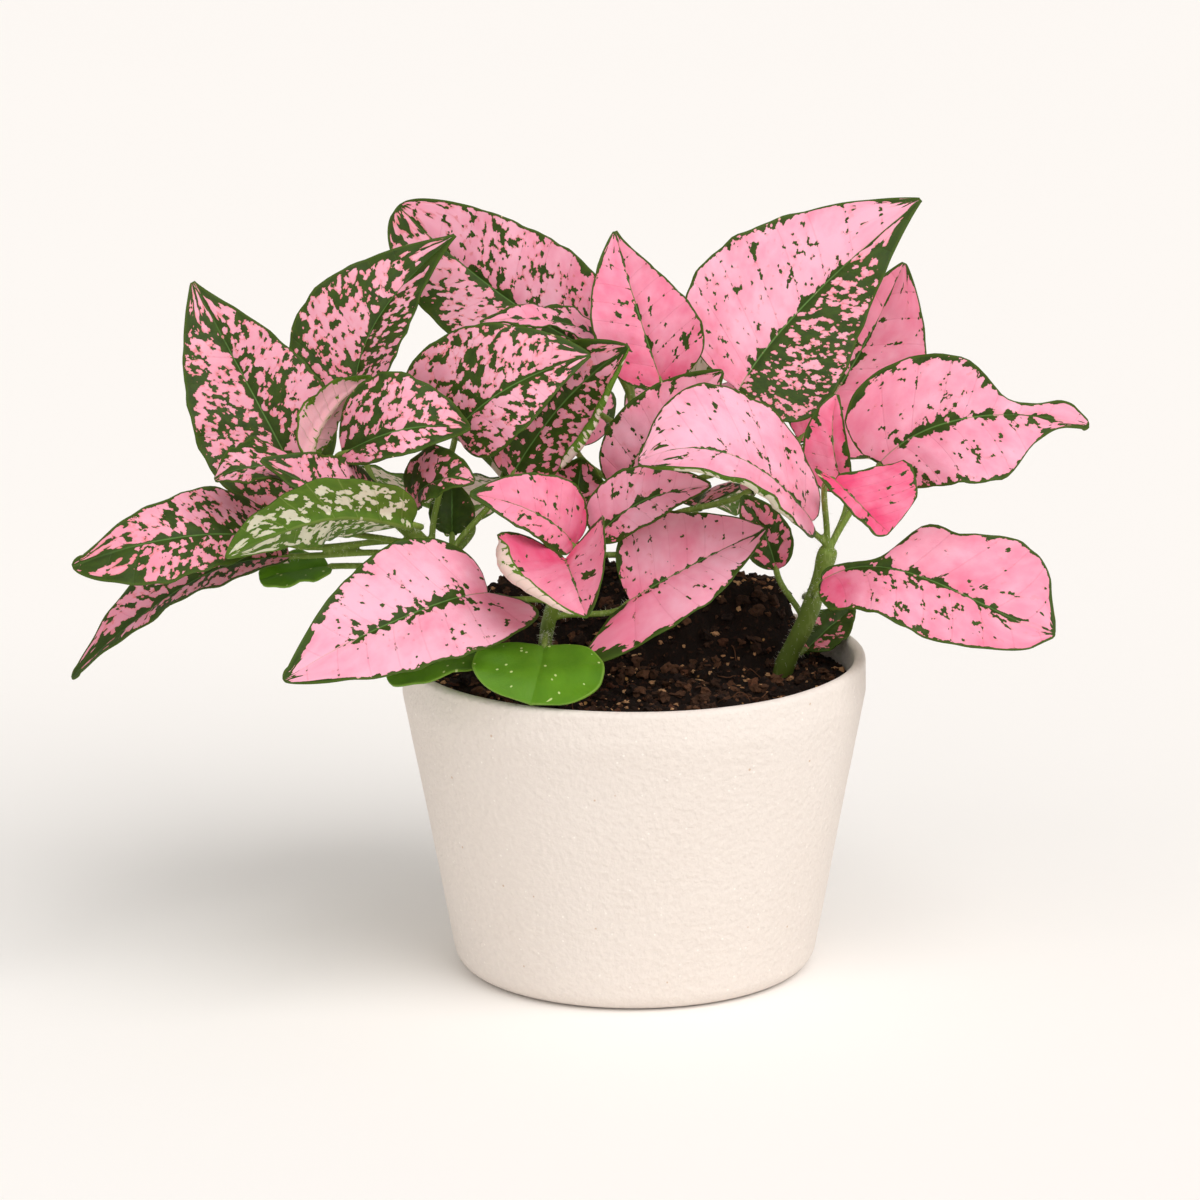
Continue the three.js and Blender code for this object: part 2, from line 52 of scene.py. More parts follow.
# Stems: centre line upwards, radius at both ends.
STEMS = {
    "left": ([(-34, 10, 56), (-38, 8, 80), (-48, 2, 100), (-60, -4, 114)], (2.2, 1.6)),
    "back": ([(12, 28, 56), (10, 29, 90), (2, 24, 115), (0, 16, 132)], (2.4, 1.6)),
    "right": ([(33, 6, 56), (36, 3, 72), (41, 0, 84), (46, -4, 102)], (2.6, 1.8)),
    "front": ([(-21, -8, 56), (-21, -16, 82), (-18, -22, 96), (-14, -22, 104)], (2.0, 1.3)),
}

# Leaves. Pairs are for the left and the right half, and a single half or green is for both.
# Angles are in degrees.
#   rib      points of the midrib from base to tip
#   face     where the upper side looks, at the base and (if it differs) at the tip
#   half     half widths
#   outline  powers by which the blade widens and narrows again, for both halves or for each
#   widths   half widths at even places from base to tip, which then give the outline
#   fold     how far the half rises from the midrib
#   curl     how far it bends on towards its margin
#   lobe     how far its ear reaches back at the base
#   lift     how far its margin is raised
#   roll     how far its margin rolls over and shows the underside
#   blunt    radius of the tip
#   stem     which stem carries the leaf, and where between foot (0) and top (1)
#   green    share of dark green
#   flush    how deep the pink is
#   band     how wide the green along the midrib is
LEAVES = {
    "leaf_left_tall": dict(rib=[(-78, 1, 116), (-91, 8.5, 140), (-104, 16, 163)], face=[(0.3, -0.95, 0.2)],
        half=(18, 15), outline=(0.4, 0.95, 0.55, 1.2), lobe=(2, 0), stem=("left", 0.95), green=(0.42, 0.4),
        flush=0.18),
    "leaf_left_upright": dict(rib=[(-66, 10, 136), (-60, 17, 154), (-42, 26, 172)], face=[(-0.3, -0.95, 0.3)],
        half=(17.5, 13), outline=(0.55, 1.2), fold=(10, 35), stem=("left", 0.85), green=(0.4, 0.44),
        flush=0.18),
    "leaf_left_curled": dict(rib=[(-68, -14, 128), (-53, -20, 135), (-38, -14, 134)], face=[(0, -0.8, 0.6)],
        half=(14, 6.5), blunt=1.1, stem=("left", 1), green=(0.34, 0.26), flush=0.2),
    "leaf_left_flap": dict(rib=[(-76, -14, 127), (-71, -8, 137), (-61, -8, 145)], face=[(-0.4, 0.8, 0.4)],
        half=6, stem=("left", 0.98), green=0.02, flush=0.95, band=0.05),
    "leaf_left_small": dict(rib=[(-78, -16, 125), (-88, -22, 127), (-97, -24, 124)], face=[(0, -0.4, 0.9)],
        half=8, stem=("left", 0.96), green=0.42, flush=0.25),
    "leaf_left_inner": dict(rib=[(-54, -14, 112.5), (-70, -26, 121), (-86, -29, 130)], face=[(0, -0.6, 0.8)],
        half=(4.5, 11), outline=(0.45, 0.9), stem=("left", 0.9), green=0.35, flush=0.3),
    "leaf_left_underside": dict(rib=[(-52, -26, 114), (-72, -37, 118), (-94, -34, 108)],
        face=[(0, 0.75, 0.6)], half=(11, 13), blunt=1.4, stem=("left", 0.8), green=0.56, flush=0.06),
    "leaf_left_blunt": dict(rib=[(-52, -10, 115), (-46, -16, 122), (-37, -18, 122)], face=[(0, -0.7, 0.7)],
        half=(8.5, 5), stem=("left", 0.75), green=0.35, flush=0.3),
    "leaf_left_long": dict(rib=[(-81, -12, 106), (-103, -24, 111), (-130, -30, 105)],
        face=[(-0.1, -0.6, 0.8)], half=(10.6, 12.5), fold=(-12, 8), outline=(1.3, 0.75, 0.55, 1.05),
        blunt=2.2, stem=("left", 0.7), green=(0.38, 0.34), flush=0.3, band=2),
    "leaf_left_low": dict(rib=[(-81, -8, 102), (-106, -9, 95), (-133, -6, 72)], face=[(-0.5, -0.45, 0.75)],
        half=(6, 12), blunt=2, stem=("left", 0.6), green=0.36, flush=0.35, band=1.6),
    "leaf_left_tucked": dict(rib=[(-71, -18, 111), (-82, -25, 113), (-92, -28, 107)], face=[(0, -0.5, 0.85)],
        half=7, stem=("left", 0.65), green=0.45, flush=0.5),
    "seed_leaf_left": dict(rib=[(-72, -2, 98), (-80, -6, 98), (-88, -8, 96)], face=[(0, -0.5, 0.85)], half=5,
        outline=(0.45, 0.45), stem=("left", 0.5)),
    "leaf_left_dark": dict(rib=[(-43, 5, 104), (-43, 7, 110), (-43, 9, 116)], face=[(0, -1, 0.1)], half=5,
        stem=("left", 0.55), green=0.995, flush=0.5),
    "leaf_top_broad": dict(rib=[(-9, 20, 145), (-32, 32, 157), (-56, 38, 177)],
        face=[(0.15, -1, 0.3), (0, -1, 0.2)], half=(15, 17.5), outline=(0.5, 0.5, 0.35, 0.6), blunt=2,
        stem=("back", 1), green=(0.34, 0.16), flush=0.2, band=1.6),
    "leaf_top_small": dict(rib=[(7, 4, 140), (1, 7, 158), (-4, 14, 175)], face=[(0, -1, 0.3)],
        half=(11.5, 13), outline=(0.55, 0.95, 0.5, 1.35), stem=("back", 0.9), green=0.03, flush=0.5,
        band=0.7),
    "leaf_top_large": dict(rib=[(25, 8, 138), (41, 20, 156), (69, 32, 179)], face=[(0, -1, 0.3)],
        half=(24, 19), outline=(0.5, 0.95, 0.38, 1.15), lobe=(0, 4), stem=("back", 0.8), green=(0.05, 0.58),
        flush=0.12, band=1.6),
    "leaf_mid_arched": dict(rib=[(-42, -4, 131), (-28, -9, 143), (-10, -4, 149)], face=[(0, -0.85, 0.5)],
        half=(18.5, 12), outline=(0.3, 0.9, 0.4, 1.1), lobe=(6, 0), stem=("left", 0.66), green=(0.36, 0.3),
        flush=0.2),
    "leaf_mid_rolled": dict(rib=[(-29, -1, 119), (-16, 1, 137), (-1, -4, 151)], face=[(0, -0.95, 0.3)],
        half=(14, 15), fold=(10, 0), curl=(0, 70), roll=(0, 150), stem=("left", 0.58), green=0.46,
        flush=0.45),
    "leaf_mid_strip": dict(rib=[(-5, 16, 147), (-19, 12, 154), (-36, 10, 154)], face=[(0, -0.3, 0.95)],
        half=6, stem=("back", 0.95), green=0.06, flush=0.3),
    "leaf_mid_shaded": dict(rib=[(-3, 4, 115), (6, 0, 131), (21, -4, 145)], face=[(0, -1, 0.2)], half=(9, 12),
        stem=("back", 0.5), green=0.04, flush=0.2, band=0.6),
    "leaf_mid_low": dict(rib=[(-14, 4, 106), (-13, 2, 116), (-12, -2, 124)], face=[(0, -1, 0.2)], half=(9, 7),
        stem=("back", 0.4), green=0.25, flush=0.6),
    "leaf_right_arched": dict(rib=[(42, -11, 110.5), (32, -24, 124), (18, -34, 133), (1, -34, 130)],
        face=[(0.12, -0.74, 0.62), (0, -0.55, 0.85)], half=(13.5, 18), lobe=(3, 2),
        widths=((3, 6.5, 9.5, 12, 13, 12.5, 11, 8.5, 4), (3.6, 8.6, 12.4, 15.2, 17.2, 17.6, 15.5, 11, 4)),
        roll=(80, 0), stem=("right", 0.98), green=0.03, flush=0.12, band=0.8),
    "leaf_right_wide": dict(rib=[(58, -4, 123), (72, -8, 133), (89, -8, 135), (107, -2, 131)],
        face=[(0, -0.85, 0.5)], half=(16.5, 17), lobe=(3, 0),
        widths=((10, 15.5, 17, 16, 12.5, 4, 2.6, 4, 2.5), (9, 12, 14.5, 16, 16.7, 15, 6.5, 1.5, 1)),
        blunt=1.6, stem=("right", 0.95), green=(0.04, 0.05), flush=0.2, band=1.8),
    "leaf_right_low": dict(rib=[(44, -14, 97), (62, -16, 100), (80, -22, 93.5), (98, -25, 86.5)],
        face=[(0, -0.7, 0.7)], half=(18.5, 13.5), lobe=(0, 4),
        widths=((2, 0.8, 2, 12, 12.6, 17, 17.5, 14, 8), (8, 11, 13.5, 15, 15.5, 15, 12, 7.5, 2.5)), blunt=1.5,
        stem=("right", 0.7), green=(0.03, 0.07), flush=0.38, band=2),
    "leaf_right_cupped": dict(rib=[(46.7, -22, 123), (52.7, -27.5, 117.8), (58.8, -31, 112.2)],
        face=[(0.1, -0.8, 0.6)], half=(14, 3),
        widths=((1, 4, 9.5, 13.5, 14.5, 13.9, 12.6, 10.8, 8), (1.5, 2, 2.5, 2.5, 2.5, 2.5, 2.5, 2.5, 2)),
        lobe=(1, 6), stem=("right", 0.92), green=0.02, flush=0.85, band=0.4),
    "leaf_right_narrow": dict(rib=[(50, 3, 115), (47, 0, 127), (48, 2, 138)], face=[(0, -1, 0)], half=(7, 3),
        stem=("right", 0.97), green=0.04, flush=0.7, band=0.4),
    "leaf_right_behind": dict(rib=[(40, 26, 122), (53, 38, 137), (66, 46, 161)], face=[(-0.1, -1, 0.2)],
        half=(12, 19.5), stem=("back", 0.6), green=0.03, flush=0.45, band=0.8),
    "leaf_right_inner": dict(rib=[(34, 9, 94), (31, 11, 103), (26, 13, 111)], face=[(0, -0.9, 0.4)], half=5.5,
        stem=("right", 0.55), green=0.35, flush=0.7),
    "leaf_right_soil": dict(rib=[(41, 10, 74), (47, 15, 78), (53, 20, 82)], face=[(0, -0.5, 0.85)], half=5.5,
        stem=("right", 0.35), green=0.6, flush=0.7),
    "leaf_front_up_left": dict(rib=[(-14, -20, 107), (-22, -26, 116), (-38, -26, 121)],
        face=[(0.1, -0.8, 0.6)], half=(6, 10), blunt=1.4, stem=("front", 0.97), green=(0.09, 0.08), flush=0.6,
        band=0.5),
    "leaf_front_up_right": dict(rib=[(-9, -16, 108), (2, -18, 117), (18, -14, 120)], face=[(-0.1, -0.8, 0.6)],
        half=(8.5, 6), blunt=1.3, stem=("front", 0.95), green=0.06, flush=0.25, band=0.8),
    "leaf_front_cupped": dict(rib=[(-16, -32, 107), (-14, -42, 104), (-11, -52, 98)],
        face=[(-0.25, -0.35, 0.9)], half=(13, 22), fold=(25, 8), curl=(20, 55), outline=(0.5, 0.8),
        lobe=(0, 9), lift=(6, 0), roll=(0, 130), stem=("front", 0.9), green=0.03, flush=0.5, band=0.5),
    "leaf_front_large": dict(rib=[(-34, -28, 98), (-54, -44, 96), (-80, -58, 85)], face=[(-0.1, -0.75, 0.65)],
        half=17, outline=(0.5, 0.8, 0.45, 0.95), lobe=(11, 2), blunt=2.4, stem=("front", 0.75),
        green=(0.035, 0.03), flush=0.08, band=2.8),
    "leaf_front_right": dict(rib=[(-1, -24, 95), (13, -20, 102), (31, -12, 109)], face=[(0, -0.75, 0.65)],
        half=(15, 12), outline=(0.5, 0.9, 0.35, 0.9), lobe=(0, 19), blunt=1.4, stem=("front", 0.65),
        green=(0.05, 0.04), flush=0.28, band=1),
    "seed_leaf_front": dict(rib=[(-21, -36, 87), (-22, -43, 83), (-24, -50, 77)], face=[(0, -0.45, 0.9)],
        half=15, outline=(0.45, 0.35), stem=("front", 0.4)),
    "seed_leaf_hidden": dict(rib=[(-32, -28, 84), (-45, -36, 84), (-57, -40, 80)], face=[(0, -0.5, 0.85)],
        half=6, outline=(0.45, 0.45), stem=("front", 0.35)),
    "leaf_back_1": dict(rib=[(-30, 30, 112), (-48, 46, 122), (-70, 58, 118)], face=[(0, 0.5, 0.85)], half=15,
        stem=("back", 0.5), green=0.4, flush=0.3),
    "leaf_back_2": dict(rib=[(-14, 38, 118), (-22, 58, 128), (-30, 80, 120)], face=[(0, 0.5, 0.85)], half=16,
        stem=("back", 0.6), green=(0.04, 0.06), flush=0.2, band=1.1),
    "leaf_back_3": dict(rib=[(10, 38, 118), (16, 60, 126), (22, 82, 116)], face=[(0, 0.5, 0.85)], half=16,
        stem=("back", 0.65), green=(0.4, 0.1), flush=0.3),
    "leaf_back_4": dict(rib=[(28, 32, 108), (48, 48, 114), (70, 62, 106)], face=[(0, 0.5, 0.85)], half=15,
        stem=("back", 0.55), green=0.04, flush=0.15, band=1),
    "leaf_back_5": dict(rib=[(45, 30, 83), (58, 40, 81), (74, 46, 71)], face=[(0, 0.5, 0.85)], half=(10, 9),
        stem=("right", 0.65), green=(0.05, 0.04), flush=0.2, band=1),
    "leaf_back_6": dict(rib=[(-40, 20, 104), (-62, 30, 108), (-88, 34, 100)], face=[(0, 0.5, 0.85)], half=14,
        stem=("left", 0.6), green=(0.4, 0.42), flush=0.3),
    "leaf_back_7": dict(rib=[(-12, 32, 132), (-20, 44, 146), (-24, 60, 154)], face=[(0, 0.7, 0.7)], half=13,
        stem=("back", 0.85), green=(0.1, 0.36), flush=0.3),
    "leaf_back_8": dict(rib=[(14, 34, 130), (24, 48, 142), (36, 62, 146)], face=[(0, 0.7, 0.7)], half=13,
        stem=("back", 0.8), green=0.04, flush=0.3, band=0.9),
    "leaf_back_9": dict(rib=[(-18, 38, 102), (-32, 54, 102), (-46, 70, 88)], face=[(0, 0.5, 0.85)], half=13,
        stem=("back", 0.45), green=0.06, flush=0.4, band=1),
    "leaf_back_10": dict(rib=[(16, 42, 102), (20, 58, 102), (26, 74, 92)], face=[(0, 0.5, 0.85)], half=14,
        stem=("back", 0.42), green=0.4, flush=0.3),
}
LEAF_DEFAULTS = dict(outline=(0.55, 0.9), widths=None, fold=(10, 10), curl=(0, 0), lobe=(0, 0), lift=(0, 0),
    roll=(0, 0), blunt=0.8, green=0.5, flush=0.15, band=1.3)


# ---------------- helpers

def srgb(code):
    """Linear colour of a #rrggbb code."""
    out = []
    for i in (1, 3, 5):
        v = int(code[i:i + 2], 16) / 255
        out.append(v / 12.92 if v <= 0.04045 else ((v + 0.055) / 1.055) ** 2.4)
    return (*out, 1.0)


def unit(v):
    return v / np.linalg.norm(v, axis=-1, keepdims=True)


def smooth(a, b, x):
    t = np.clip((x - a) / (b - a), 0, 1)
    return t * t * (3 - 2 * t)


def mesh_object(name, verts, faces, materials, material_of_face=None, attributes=None):
    """A smooth-shaded object from vertices in millimetres."""
    me = bpy.data.meshes.new(name)
    me.from_pydata((np.asarray(verts) * MM).tolist(), [], faces)
    for m in materials:
        me.materials.append(m)
    if material_of_face is not None:
        me.polygons.foreach_set("material_index", np.asarray(material_of_face, np.int32))
    for key, values in (attributes or {}).items():
        layer = me.attributes.new(key, "FLOAT_VECTOR", "POINT")
        layer.data.foreach_set("vector", np.asarray(values, np.float32).ravel())
    shade(me, True)
    me.update()
    return add_object(name, me)


def shade(me, smoothly):
    me.polygons.foreach_set("use_smooth", [smoothly] * len(me.polygons))


def add_object(name, data):
    obj = bpy.data.objects.new(name, data)
    bpy.context.scene.collection.objects.link(obj)
    return obj


def circle(radius, z, count):
    angles = (2 * math.pi * j / count for j in range(count))
    return [(radius * math.cos(a), radius * math.sin(a), z) for a in angles]


def place(obj, node):
    """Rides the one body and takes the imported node's place."""
    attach(obj, "root")
    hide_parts(node)


# ---------------- shader building

class Tree:
    """Adds nodes to a node tree with little writing."""

    def __init__(self, tree):
        self.tree = tree

    def put(self, socket, value):
        if isinstance(value, bpy.types.NodeSocket):
            self.tree.links.new(value, socket)
        else:
            socket.default_value = value

    def node(self, kind, settings=None, inputs=None):
        n = self.tree.nodes.new(kind)
        for key, value in (settings or {}).items():
            setattr(n, key, value)
        for key, value in (inputs or {}).items():
            self.put(n.inputs[key], value)
        return n

    def math(self, op, a, b=0.0, clamp=False):
        return self.node("ShaderNodeMath", {"operation": op, "use_clamp": clamp}, {0: a, 1: b}).outputs[0]

    def add(self, a, b, clamp=False):
        return self.math("ADD", a, b, clamp)

    def times(self, a, b, clamp=False):
        return self.math("MULTIPLY", a, b, clamp)

    def plus(self, base, value, factor):
        """base + value * factor."""
        return self.add(base, self.times(value, factor))

    def vector(self, op, a, b):
        return self.node("ShaderNodeVectorMath", {"operation": op},
            {0: a, "Scale" if op == "SCALE" else 1: b}).outputs[0]

    def ramp(self, value, lo, hi, out_lo=0.0, out_hi=1.0):
        """Smooth step from out_lo where value is lo to out_hi where it is hi."""
        return self.node("ShaderNodeMapRange", {"interpolation_type": "SMOOTHSTEP"}, {"Value": value,
            "From Min": lo, "From Max": hi, "To Min": out_lo, "To Max": out_hi}).outputs[0]

    def mix(self, fac, a, b):
        return self.node("ShaderNodeMix", {"data_type": "RGBA"}, {0: fac, 6: a, 7: b}).outputs[2]

    def noise(self, vector, scale, detail=2.0, roughness=0.5):
        return self.node("ShaderNodeTexNoise", {}, {"Vector": vector, "Scale": scale, "Detail": detail,
            "Roughness": roughness}).outputs[0]

    def voronoi(self, vector, scale):
        return self.node("ShaderNodeTexVoronoi", {}, {"Vector": vector, "Scale": scale}).outputs

    def split(self, vector):
        return self.node("ShaderNodeSeparateXYZ", {}, {0: vector}).outputs

    def attribute(self, name):
        """The attribute as a vector, then its three parts."""
        vector = self.node("ShaderNodeAttribute", {"attribute_name": name}).outputs["Vector"]
        return vector, *self.split(vector)


def material(name, build, fixed=None):
    """A principled material. build gets the Tree and returns what feeds the shader's sockets."""
    m = bpy.data.materials.new(name)
    m.use_nodes = True
    m.node_tree.nodes.clear()
    t = Tree(m.node_tree)
    shader = t.node("ShaderNodeBsdfPrincipled", {}, {**(fixed or {}), **build(t)})
    t.node("ShaderNodeOutputMaterial", {}, {"Surface": shader.outputs[0]})
    return m


def surface(t, colour, roughness, height, distance, strength):
    """What feeds a shader with a relief. distance is the relief's depth in metres."""
    normal = t.node("ShaderNodeBump", {}, {"Strength": strength, "Distance": distance, "Height": height})
    return {"Base Color": colour, "Roughness": roughness, "Normal": normal.outputs[0]}


def spots(t, vector, scale, share, size, firm=0.75, strength=1.0):
    """Round spots in a share of the cells. firm is the part of their size before they fade."""
    cell = t.voronoi(vector, scale)
    chosen = t.math("LESS_THAN", t.split(cell["Color"])[0], share)
    return t.times(chosen, t.ramp(cell["Distance"], size * firm, size, strength, 0.0))


def variegation(t):
    """Where a leaf is green, from the blade's own coordinates. All lengths in millimetres."""
    pattern, x, _, _ = t.attribute("pattern")
    _, along, edge, vein = t.attribute("place")
    _, green, flush, band = t.attribute("look")
    side = t.math("ABSOLUTE", t.attribute("across")[1])
    # Pink islands are runs of round spots. Small cells make the green edges a little toothed.
    cells = t.voronoi(pattern, 2.1)["Position"]
    at = t.vector("ADD", pattern, t.vector("SCALE", t.vector("SUBTRACT", cells, pattern), 0.62))
    island = t.voronoi(at, 0.62)["Distance"]
    broad = t.noise(at, 0.16, 2.0, 0.5)
    middle = t.noise(at, 0.55, 1.0, 0.5)
    fine = t.noise(cells, 0.8, 1.0, 0.5)
    patch = t.add(t.times(t.math("SUBTRACT", broad, 0.5), 0.9), middle)
    field = t.add(t.times(t.math("SUBTRACT", island, 0.52), 0.55), patch)
    # The margin and the midrib are green, in bands that swell and narrow along the leaf.
    slow = t.noise(pattern, 0.11, 1.0, 0.5)
    inner = t.add(1.0, t.ramp(slow, 0.44, 0.66, 0.0, 2.6))
    margin = t.ramp(edge, 0.2, inner, t.ramp(green, -0.2, 0.0, 0.45, 0.32), 0.0)
    beads = t.noise(t.node("ShaderNodeCombineXYZ", {}, {"X": x, "Z": green}).outputs[0], 0.22, 1.0, 0.5)
    wide = t.times(band, t.ramp(beads, 0.38, 0.62, 0.25, 1.6))
    rib = t.times(t.ramp(t.math("DIVIDE", side, wide), 0.3, 1.4, 0.45, 0.0),
        t.times(t.ramp(along, 0.02, 0.16), t.ramp(along, 0.72, 0.95, 1.0, 0.35)))
    line = t.math("ABSOLUTE", t.math("SUBTRACT", t.math("FRACT", vein), 0.5))
    on_vein = t.ramp(line, 0.0, 0.12, 1.0, 0.0)
    dots = t.times(t.ramp(fine, 0.53, 0.6), t.times(on_vein, 0.28))
    tip = t.ramp(along, 0.90, 1.0, 0.0, 0.14)
    total = t.add(t.add(green, margin), t.add(t.add(rib, dots), tip))
    level = t.add(field, total)
    mask = t.ramp(level, 0.495, 0.505)
    near = t.ramp(level, 0.385, 0.495)
    # Small dark dots in the pink, small pink and pale dots in the green.
    dark_dot = spots(t, pattern, 0.75, t.plus(0.10, green, 0.25), 0.24)
    pink_dot = spots(t, pattern, 0.5, 0.25, 0.22)
    mask = t.math("MAXIMUM", t.times(mask, t.math("SUBTRACT", 1.0, pink_dot)), dark_dot)
    mask = t.math("MAXIMUM", mask, t.ramp(edge, 0.34, 0.50, 1.0, 0.0))
    # The midrib itself is a fine paler line.
    core = t.times(t.ramp(side, 0.10, 0.34, 1.0, 0.0), t.ramp(along, 0.5, 0.95, 1.0, 0.2))
    return dict(mask=mask, near=near, pale=spots(t, pattern, 0.5, 0.25, 0.13), core=core,
        vein=t.ramp(line, 0.0, 0.045, 1.0, 0.0), flush=flush, green=green, along=along, edge=edge,
        pattern=pattern)


def leaf_upper(t):
    v = variegation(t)
    cloud = t.plus(t.noise(v["pattern"], 0.10), t.noise(v["pattern"], 0.42), 0.5)
    deep = t.add(v["flush"], t.math("SUBTRACT", cloud, 0.75))
    # Deeper pink towards the base: partly the leaf's own flush and partly painted shade at the base.
    deep = t.add(deep, t.ramp(v["along"], 0.0, 0.35, 0.3, 0.0), clamp=True)
    pink = t.mix(deep, srgb("#f9b4c9"), srgb("#e64f7b"))
    pink = t.mix(t.ramp(v["green"], -0.15, -0.03, 0.0, 0.42), pink, srgb("#dca3b0"))
    rust = t.times(v["near"], t.ramp(v["green"], -0.32, -0.12, 0.3, 0.7))
    pink = t.mix(rust, pink, srgb("#e0787a"))
    pink = t.mix(t.times(v["vein"], 0.15), pink, srgb("#cc5f74"))
    green = t.mix(t.noise(v["pattern"], 0.5), srgb("#1c2d05"), srgb("#415a10"))
    green = t.mix(t.ramp(v["edge"], 0.1, 1.0, 0.5, 0.0), green, srgb("#4a6416"))
    green = t.mix(v["pale"], green, srgb("#c9b48c"))
    colour = t.mix(v["mask"], pink, green)
    colour = t.mix(t.times(v["core"], 0.6), colour, srgb("#6b9448"))
    grain = t.noise(v["pattern"], 2.4, 3.0, 0.6)
    height = t.plus(t.times(grain, 0.5), v["vein"], -0.55)
    return surface(t, colour, t.plus(0.46, grain, 0.14), height, 0.00012, 0.7)


def leaf_under(t):
    v = variegation(t)
    pale = t.mix(t.times(v["flush"], 0.9, clamp=True), srgb("#d9dabf"), srgb("#e9a3b3"))
    pale = t.mix(t.times(v["near"], 0.35), pale, srgb("#b5b48a"))
    green = t.mix(t.noise(v["pattern"], 0.5), srgb("#3c5c10"), srgb("#648524"))
    colour = t.mix(v["mask"], pale, green)
    lines = t.math("MAXIMUM", v["vein"], v["core"])
    colour = t.mix(t.times(lines, 0.3), colour, srgb("#94a658"))
    grain = t.noise(v["pattern"], 2.0, 3.0, 0.6)
    height = t.plus(t.times(grain, 0.6), v["vein"], 0.8)
    return surface(t, colour, t.plus(0.55, grain, 0.15), height, 0.00014, 0.8)


def seed_leaf(t):
    pattern, edge = t.attribute("pattern")[0], t.attribute("place")[2]
    cloud = t.noise(pattern, 0.12, 3.0, 0.6)
    colour = t.mix(cloud, srgb("#3a6607"), srgb("#6b9e1f"))
    colour = t.mix(t.ramp(edge, 0.1, 0.7, 0.35, 0.0), colour, srgb("#8db048"))
    colour = t.mix(spots(t, pattern, 0.5, 0.6, 0.17), colour, srgb("#c3d48a"))
    grain = t.noise(pattern, 1.6, 3.0, 0.6)
    return surface(t, colour, t.plus(0.42, grain, 0.16), grain, 0.00015, 0.6)


def object_place(t):
    return t.node("ShaderNodeTexCoord").outputs["Object"]


def stem_skin(t):
    p = object_place(t)
    streak = t.noise(t.vector("MULTIPLY", p, (1, 1, 0.18)), 900, 3.0, 0.6)
    cloud = t.noise(p, 90, 3.0, 0.6)
    colour = t.mix(cloud, srgb("#526b18"), srgb("#88a03f"))
    colour = t.mix(t.ramp(streak, 0.5, 0.75, 0.0, 0.6), colour, srgb("#a3b468"))
    blush = t.ramp(t.noise(p, 45), 0.55, 0.75, 0.0, 0.4)
    colour = t.mix(blush, colour, srgb("#8a5a44"))
    # Painted shade: the stem is darker towards the soil, where its foot stands in shadow.
    dark = t.ramp(t.split(p)[2], 0.066, 0.1, 0.6, 0.0)  # towards the soil
    colour = t.mix(dark, colour, srgb("#37420f"))
    return surface(t, colour, t.plus(0.45, streak, 0.2), streak, 0.0002, 0.6)


def hair(t):
    colour = t.mix(t.noise(object_place(t), 300, 1.0), srgb("#dfe6c8"), srgb("#f4efe2"))
    return {"Base Color": colour, "Roughness": 0.5}


def soil_skin(t):
    p = object_place(t)
    grain = t.noise(p, 700, 6.0, 0.65)
    clump = t.noise(p, 160, 4.0, 0.6)
    colour = t.mix(clump, srgb("#0b0603"), srgb("#1f120b"))
    colour = t.mix(t.ramp(grain, 0.52, 0.72, 0.0, 0.6), colour, srgb("#46291a"))
    colour = t.mix(spots(t, p, 520, 0.03, 0.35, 0.2 / 0.35), colour, srgb("#b98a55"))
    return surface(t, colour, t.plus(0.8, grain, 0.2), t.plus(grain, clump, 1.5), 0.0007, 1.0)


def crumb_skin(t):
    p = object_place(t)
    _, tone, red, _ = t.attribute("look")
    grain = t.noise(p, 1100, 5.0, 0.65)
    colour = t.mix(tone, srgb("#140b07"), srgb("#6e4a33"))
    colour = t.mix(t.times(red, 0.6), colour, srgb("#5e3320"))
    colour = t.mix(t.ramp(grain, 0.50, 0.78, 0.0, 0.5), colour, srgb("#5c3c26"))
    # Crumbs of tone near 1 are light chips in the soil, and partly painted highlights that stand in for
    # glints on the crumbs.
    light = t.mix(t.noise(p, 80, 1.0), srgb("#a86c42"), srgb("#e2b88a"))
    colour = t.mix(t.ramp(tone, 0.94, 0.97), colour, light)
    return surface(t, colour, t.plus(0.75, grain, 0.25), grain, 0.0009, 1.0)


def stoneware(t):
    p = object_place(t)
    grain = t.noise(p, 900, 4.0, 0.6)
    skin = t.noise(p, 620)
    cloud = t.noise(p, 22)
    colour = t.mix(cloud, srgb("#ece3dc"), srgb("#e3d8cf"))
    colour = t.mix(t.ramp(grain, 0.35, 0.7, 0.0, 0.35), colour, srgb("#f3eae1"))
    flecks = ((420, 0.05, 0.16, "#cdb096"), (260, 0.03, 0.09, "#b59a84"), (700, 0.12, 0.22, "#fbf4ec"))
    for scale, share, size, code in flecks:
        colour = t.mix(spots(t, p, scale, share, size, 0.6, 0.8), colour, srgb(code))
    return surface(t, colour, t.plus(0.66, grain, 0.2), t.plus(skin, grain, 0.5), 0.0005, 0.8)


def floor_skin(t):
    colour = t.mix(t.noise(object_place(t), 3.0), srgb("#fbf8f5"), srgb("#fcf9f6"))
    return {"Base Color": colour, "Roughness": 0.85}


LEAF_FIXED = {"Specular IOR Level": 0.22, "Subsurface Weight": 0.12, "Subsurface Scale": 1.0,
    "Subsurface Radius": (0.0012, 0.0006, 0.0004)}
UPPER = material("leaf_upper", leaf_upper, LEAF_FIXED)
UNDER = material("leaf_under", leaf_under, LEAF_FIXED)
SEED_LEAF = material("seed_leaf", seed_leaf, LEAF_FIXED)
STEM = material("stem_skin", stem_skin, {"Specular IOR Level": 0.4})
HAIR = material("stem_hair", hair)
SOIL = material("soil_skin", soil_skin, {"Specular IOR Level": 0.2})
CRUMB = material("soil_crumb", crumb_skin, {"Specular IOR Level": 0.25})
POT = material("stoneware", stoneware, {"Specular IOR Level": 0.3})
FLOOR_SKIN = material("floor_skin", floor_skin)


# ---------------- leaves

EAR_AT = 0.0476  # where an ear reaches back furthest
ROLL_FROM, ROLL_TO, ROLL_STEPS = 0.76, 0.93, 120  # between midrib (0) and margin (1)
